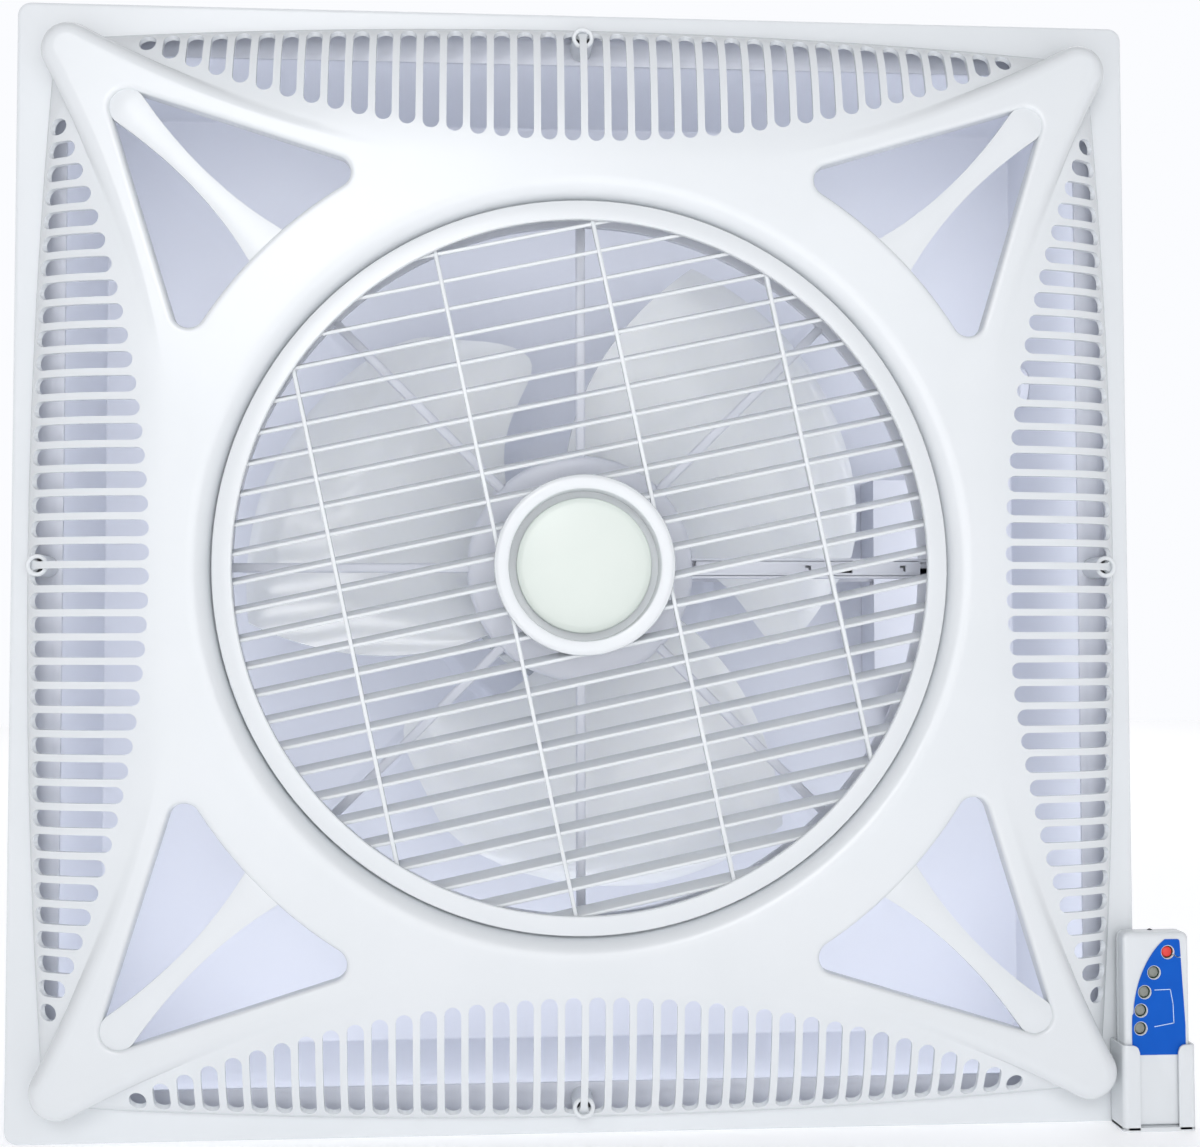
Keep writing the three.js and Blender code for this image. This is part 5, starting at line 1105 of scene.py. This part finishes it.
def round_holder(run):
    """Point of the holder's plan at a run from the inner edge of one arm round to the other."""
    x, y, heading = width / 2 - arm, -depth, 0.0
    for k, leg in enumerate(legs):
        part = min(run, leg)
        if k % 2:
            bend = part / r
            x += r * (sin(heading + bend) - sin(heading))
            y -= r * (cos(heading + bend) - cos(heading))
            heading += bend
        else:
            x, y = x + part * cos(heading), y + part * sin(heading)
        run -= part
        if run <= 1e-9:
            break
    return x, y


whole = sum(legs)
stations = [0]
for k, leg in enumerate(legs):
    for n in range(1, 9 if k % 2 or k in (0, 8) else 3):
        stations.append(sum(legs[:k]) + leg * n / (8 if k % 2 or k in (0, 8) else 2))
holder = bmesh.new()
bmesh.ops.create_grid(holder, x_segments=len(stations) - 1, y_segments=6, size=0.5)
for vert in holder.verts:
    run = stations[round((vert.co.x + 0.5) * (len(stations) - 1))]
    inner = max(shoulder - min(run, whole - run), 0)
    top = HOLDER["height"] - shoulder + sqrt(shoulder ** 2 - inner ** 2)
    vert.co = (*round_holder(run), 0.6 + (vert.co.y + 0.5) * (top - 0.6))
face_outwards(holder)
bmesh.ops.solidify(holder, geom=holder.faces[:], thickness=HOLDER["wall"])
rim = [e for e in holder.edges if e.calc_face_angle(0) > radians(60)]
soften(holder, rim, 0.35)
foot = [(x, y - depth / 2) for x, y in corners(width / 2 - r, depth / 2 - r, r, 8)]
solid_sheet(holder, [foot], 0, HOLDER["floor"], 0.3)
place_remote(holder)
piece(holder, "two_armed_holder", "frame", "holder_white", gloss_abs, "remote_cradle")

# ---- Handset ----
# A slim remote control in two glossy white shells that snap together along a fine seam. The
# face has five round wells for the keys.
HANDSET = {"width": 35.4, "low": 2.5, "top": 103.5, "back": -1.9, "front": -16.9,
           "split": -8.65, "corner": 3.5, "shell": 1.5}
KEYS = [(6.2, 93.1), (-1.4, 82.5), (-6.6, 72.3), (-8.7, 62.7), (-9, 53.3)]
WELL_R = 3.35


def handset_ring(side_inset, top_inset, y, steps=8):
    """Ring of points round the handset at a depth, drawn in at its sides and its top."""
    r = HANDSET["corner"] - min(side_inset, 2.9)
    x = HANDSET["width"] / 2 - side_inset - r
    low, high = HANDSET["low"] + min(side_inset, 1) + r, HANDSET["top"] - top_inset - r
    return [(px, y, (low + high) / 2 + pz) for px, pz in corners(x, (high - low) / 2, r, steps)]


def flat_face(y, *rings):
    """Flat face across the handset, bounded by rings of (x, y, z) points."""
    sheet = flat_sheet(0, *[[(p[0], p[2]) for p in ring] for ring in rings])
    bmesh.ops.transform(sheet, verts=sheet.verts, matrix=Matrix.Translation((0, y, 0))
                        @ Matrix(((1, 0, 0, 0), (0, 0, 1, 0), (0, 1, 0, 0), (0, 0, 0, 1))))
    return sheet


def circle(x, z, r, y=0, count=36):
    return [(px, y, pz) for px, pz in disc(r, count, x, z)]


def shell(seam, face, edge_profile, openings):
    """Half of the handset's case, from its seam to its face. The profile of the edge between
    them gives the insets at the sides and the top, and the depth below the face."""
    bm = bmesh.new()
    way = 1 if face > seam else -1
    rings = [handset_ring(0.25, 0.25, seam), handset_ring(0, 0, seam + way * 0.25)]
    rings += [handset_ring(side, top, face - way * depth) for side, top, depth in edge_profile]
    strips(bm, rings)
    add_sheet(bm, flat_face(face, rings[-1], *openings))
    bmesh.ops.remove_doubles(bm, verts=bm.verts, dist=1e-3)
    face_outwards(bm)
    bmesh.ops.solidify(bm, geom=bm.faces[:], thickness=HANDSET["shell"])
    return bm


rolled = [(2 * (1 - cos(radians(a))), 3.4 * (1 - cos(radians(a))), 2 * (1 - sin(radians(a))))
          for a in range(0, 91, 15)]
fore = shell(HANDSET["split"] - 0.12, HANDSET["front"], rolled,
             [circle(x, z, WELL_R) for x, z in KEYS])
edges = [e for e in fore.edges if e.calc_face_angle(0) > radians(70)
         and all(abs(v.co.y - HANDSET["front"]) < 1e-4 for v in e.verts)]
soften(fore, edges, 0.25)
place_remote(fore)
piece(fore, "handset_face_shell", "handset", "handset_white", gloss_abs, "remote_front_shell")
DOOR = {"half": 13, "low": 5.5, "high": 50.5, "gap": FIT}
door_hole = [(x, 0, z) for x, z in oblong(-DOOR["half"] - DOOR["gap"], DOOR["low"] - DOOR["gap"],
                                          DOOR["half"] + DOOR["gap"], DOOR["high"] + DOOR["gap"])]
# The rear half tapers to its back, so that it clears the panel's slope as it is lifted out
tapered = [(0, 0, 5), (0.12, 0.12, 4.5), (2.1, 2.1, 0.75), (2.4, 2.4, 0.3), (2.9, 2.9, 0)]
rear = shell(HANDSET["split"] + 0.12, HANDSET["back"], tapered, [door_hole])
place_remote(rear)
piece(rear, "handset_rear_shell", "handset", "handset_white", gloss_abs, "remote_back_shell")

door = bmesh.new()
bar(door, (-DOOR["half"], HANDSET["back"] - 1.5, DOOR["low"]),
    (DOOR["half"], HANDSET["back"] - 0.02, DOOR["high"]), 0.3)
for k in range(5):
    bar(door, (-6 + k * 0.6, HANDSET["back"] - 0.5, DOOR["high"] - 5 - k * 1.6),
        (6 - k * 0.6, HANDSET["back"], DOOR["high"] - 4.2 - k * 1.6), 0.2)
place_remote(door)
piece(door, "battery_door", "handset", "handset_white", gloss_abs, "battery_cover")

# ---- Label film ----
# A blue polyester film stuck on the handset's face, printed from behind. Its left edge sweeps
# down beside the keys, and fine pale lines tie some of the keys together.
FILM = {"back": -16.95, "front": -17.35, "hole": 3.75}
film = bmesh.new()
edge = cubic((4.6, 99.9), (-3.5, 93.5), (-11.2, 80), (-12.7, 63.2), 24)
edge += [Vector(p) for p in ((-12.75, 61.2), (-13.5, 60.2), (-13.7, 54), (-13.7, 39.5),
                             (15.2, 39.5), (15.2, 54.5))]
edge += cubic((14.9, 60), (14.2, 72), (13.4, 85), (12.7, 98.6), 10)
edge += [Vector((12.65 - 1.3 * (1 - cos(radians(a))), 98.6 + 1.3 * sin(radians(a))))
         for a in range(0, 91, 15)]
outline = [(p[0], 0, p[1]) for p in edge]
face = flat_face(FILM["back"], outline, *[circle(x, z, FILM["hole"]) for x, z in KEYS])
thicken(face, (0, FILM["front"] - FILM["back"], 0))
add_sheet(film, face)
place_remote(film)
# Polyester over blue ink: saturated and smooth, with a soft sheen.
blue_film = moulded("blue printed polyester film", ("#0653BA", "#0A5FC6"), 0.3, 14, 1.2, 0.004,
                    IOR=1.57, **{"Specular IOR Level": 0.12})
piece(film, "blue_label_film", "handset", "label_blue", blue_film, "remote_label_film")


def pen(bm, path, width):
    """Fine raised line of ink along points of the label."""
    for a, b in zip(path, path[1:]):
        a, b = Vector(a), Vector(b)
        run = b - a
        bar(bm, (-width / 2, FILM["front"] - 0.04, -width / 2),
            (run.length + width / 2, FILM["front"] + 0.02, width / 2), 0.01, 1,
            Matrix.Translation((a.x, 0, a.y)) @ Matrix.Rotation(-atan2(run.y, run.x), 4, "Y"))


lines = bmesh.new()
pen(lines, [(-1.2, 73.4), (7.2, 73.6), (8.6, 66), (8.9, 56), (-1.6, 54.2)], 0.35)
swoosh = cubic((8.9, 92.6), (10, 90.8), (11.4, 90.2), (12.9, 90.4), 8) + [Vector((12.9, 90.4))]
pen(lines, swoosh, 0.5)
place_remote(lines)
ink = moulded("pale printed ink", ("#BFDDF8", "#DCEBFA"), 0.4, 3, 0.5, 0.002)
piece(lines, "label_guide_lines", "handset", "label_blue", ink)

# ---- Keys ----
# Silicone rubber keys with softly domed tops, sunk in the wells of the face: one red for power,
# four grey for speed.
KEY = {"r": 2.8, "sunk": 0.5, "back": 2.6}
red_rubber = moulded("red silicone rubber", ("#DE3A36", "#EE4A43"), 0.48, 3, 0.4, 0.01)
grey_rubber = moulded("grey silicone rubber", ("#7E817A", "#94978F"), 0.52, 3, 0.4, 0.01)
for k, (x, z) in enumerate(KEYS):
    key = bmesh.new()
    r, sunk = KEY["r"], KEY["sunk"]
    turned(key, [(0, -sunk), (1, -sunk - 0.03), (1.8, -sunk - 0.15), (2.4, -sunk - 0.4),
                 (2.7, -sunk - 0.75), (r, -sunk - 1.2), (r, -KEY["back"]), (0, -KEY["back"])], 40,
           closed=False)
    bmesh.ops.transform(key, verts=key.verts, matrix=Matrix.Translation((x, HANDSET["front"], z))
                        @ Matrix.Rotation(radians(90), 4, "X"))
    place_remote(key)
    name = "power_button" if k == 0 else f"speed_button_{k}"
    piece(key, f"rubber_{name}", f"{name}_key", "key_grey" if k else "key_red",
          grey_rubber if k else red_rubber, name)

# ---- Handset's inner parts ----
# Board and sending lamp behind the keys, and two dry cells behind the door.
# Green resist as on the mains board; deep purple epoxy that passes infrared; printed steel jackets.
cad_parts["remote_board"].data.materials[0] = resist
lens_epoxy = moulded("violet tinted epoxy lens", ("#1B1524", "#261D33"), 0.1, 2, 0.5, 0.001)
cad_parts["remote_ir_led"].data.materials[0] = lens_epoxy
jacket = metal("printed steel cell jacket", ("#2B2D33", "#3F4249"), 0.35, 4, 0.004)
for k in (1, 2):
    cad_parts[f"battery_cell_{k}"].data.materials[0] = jacket
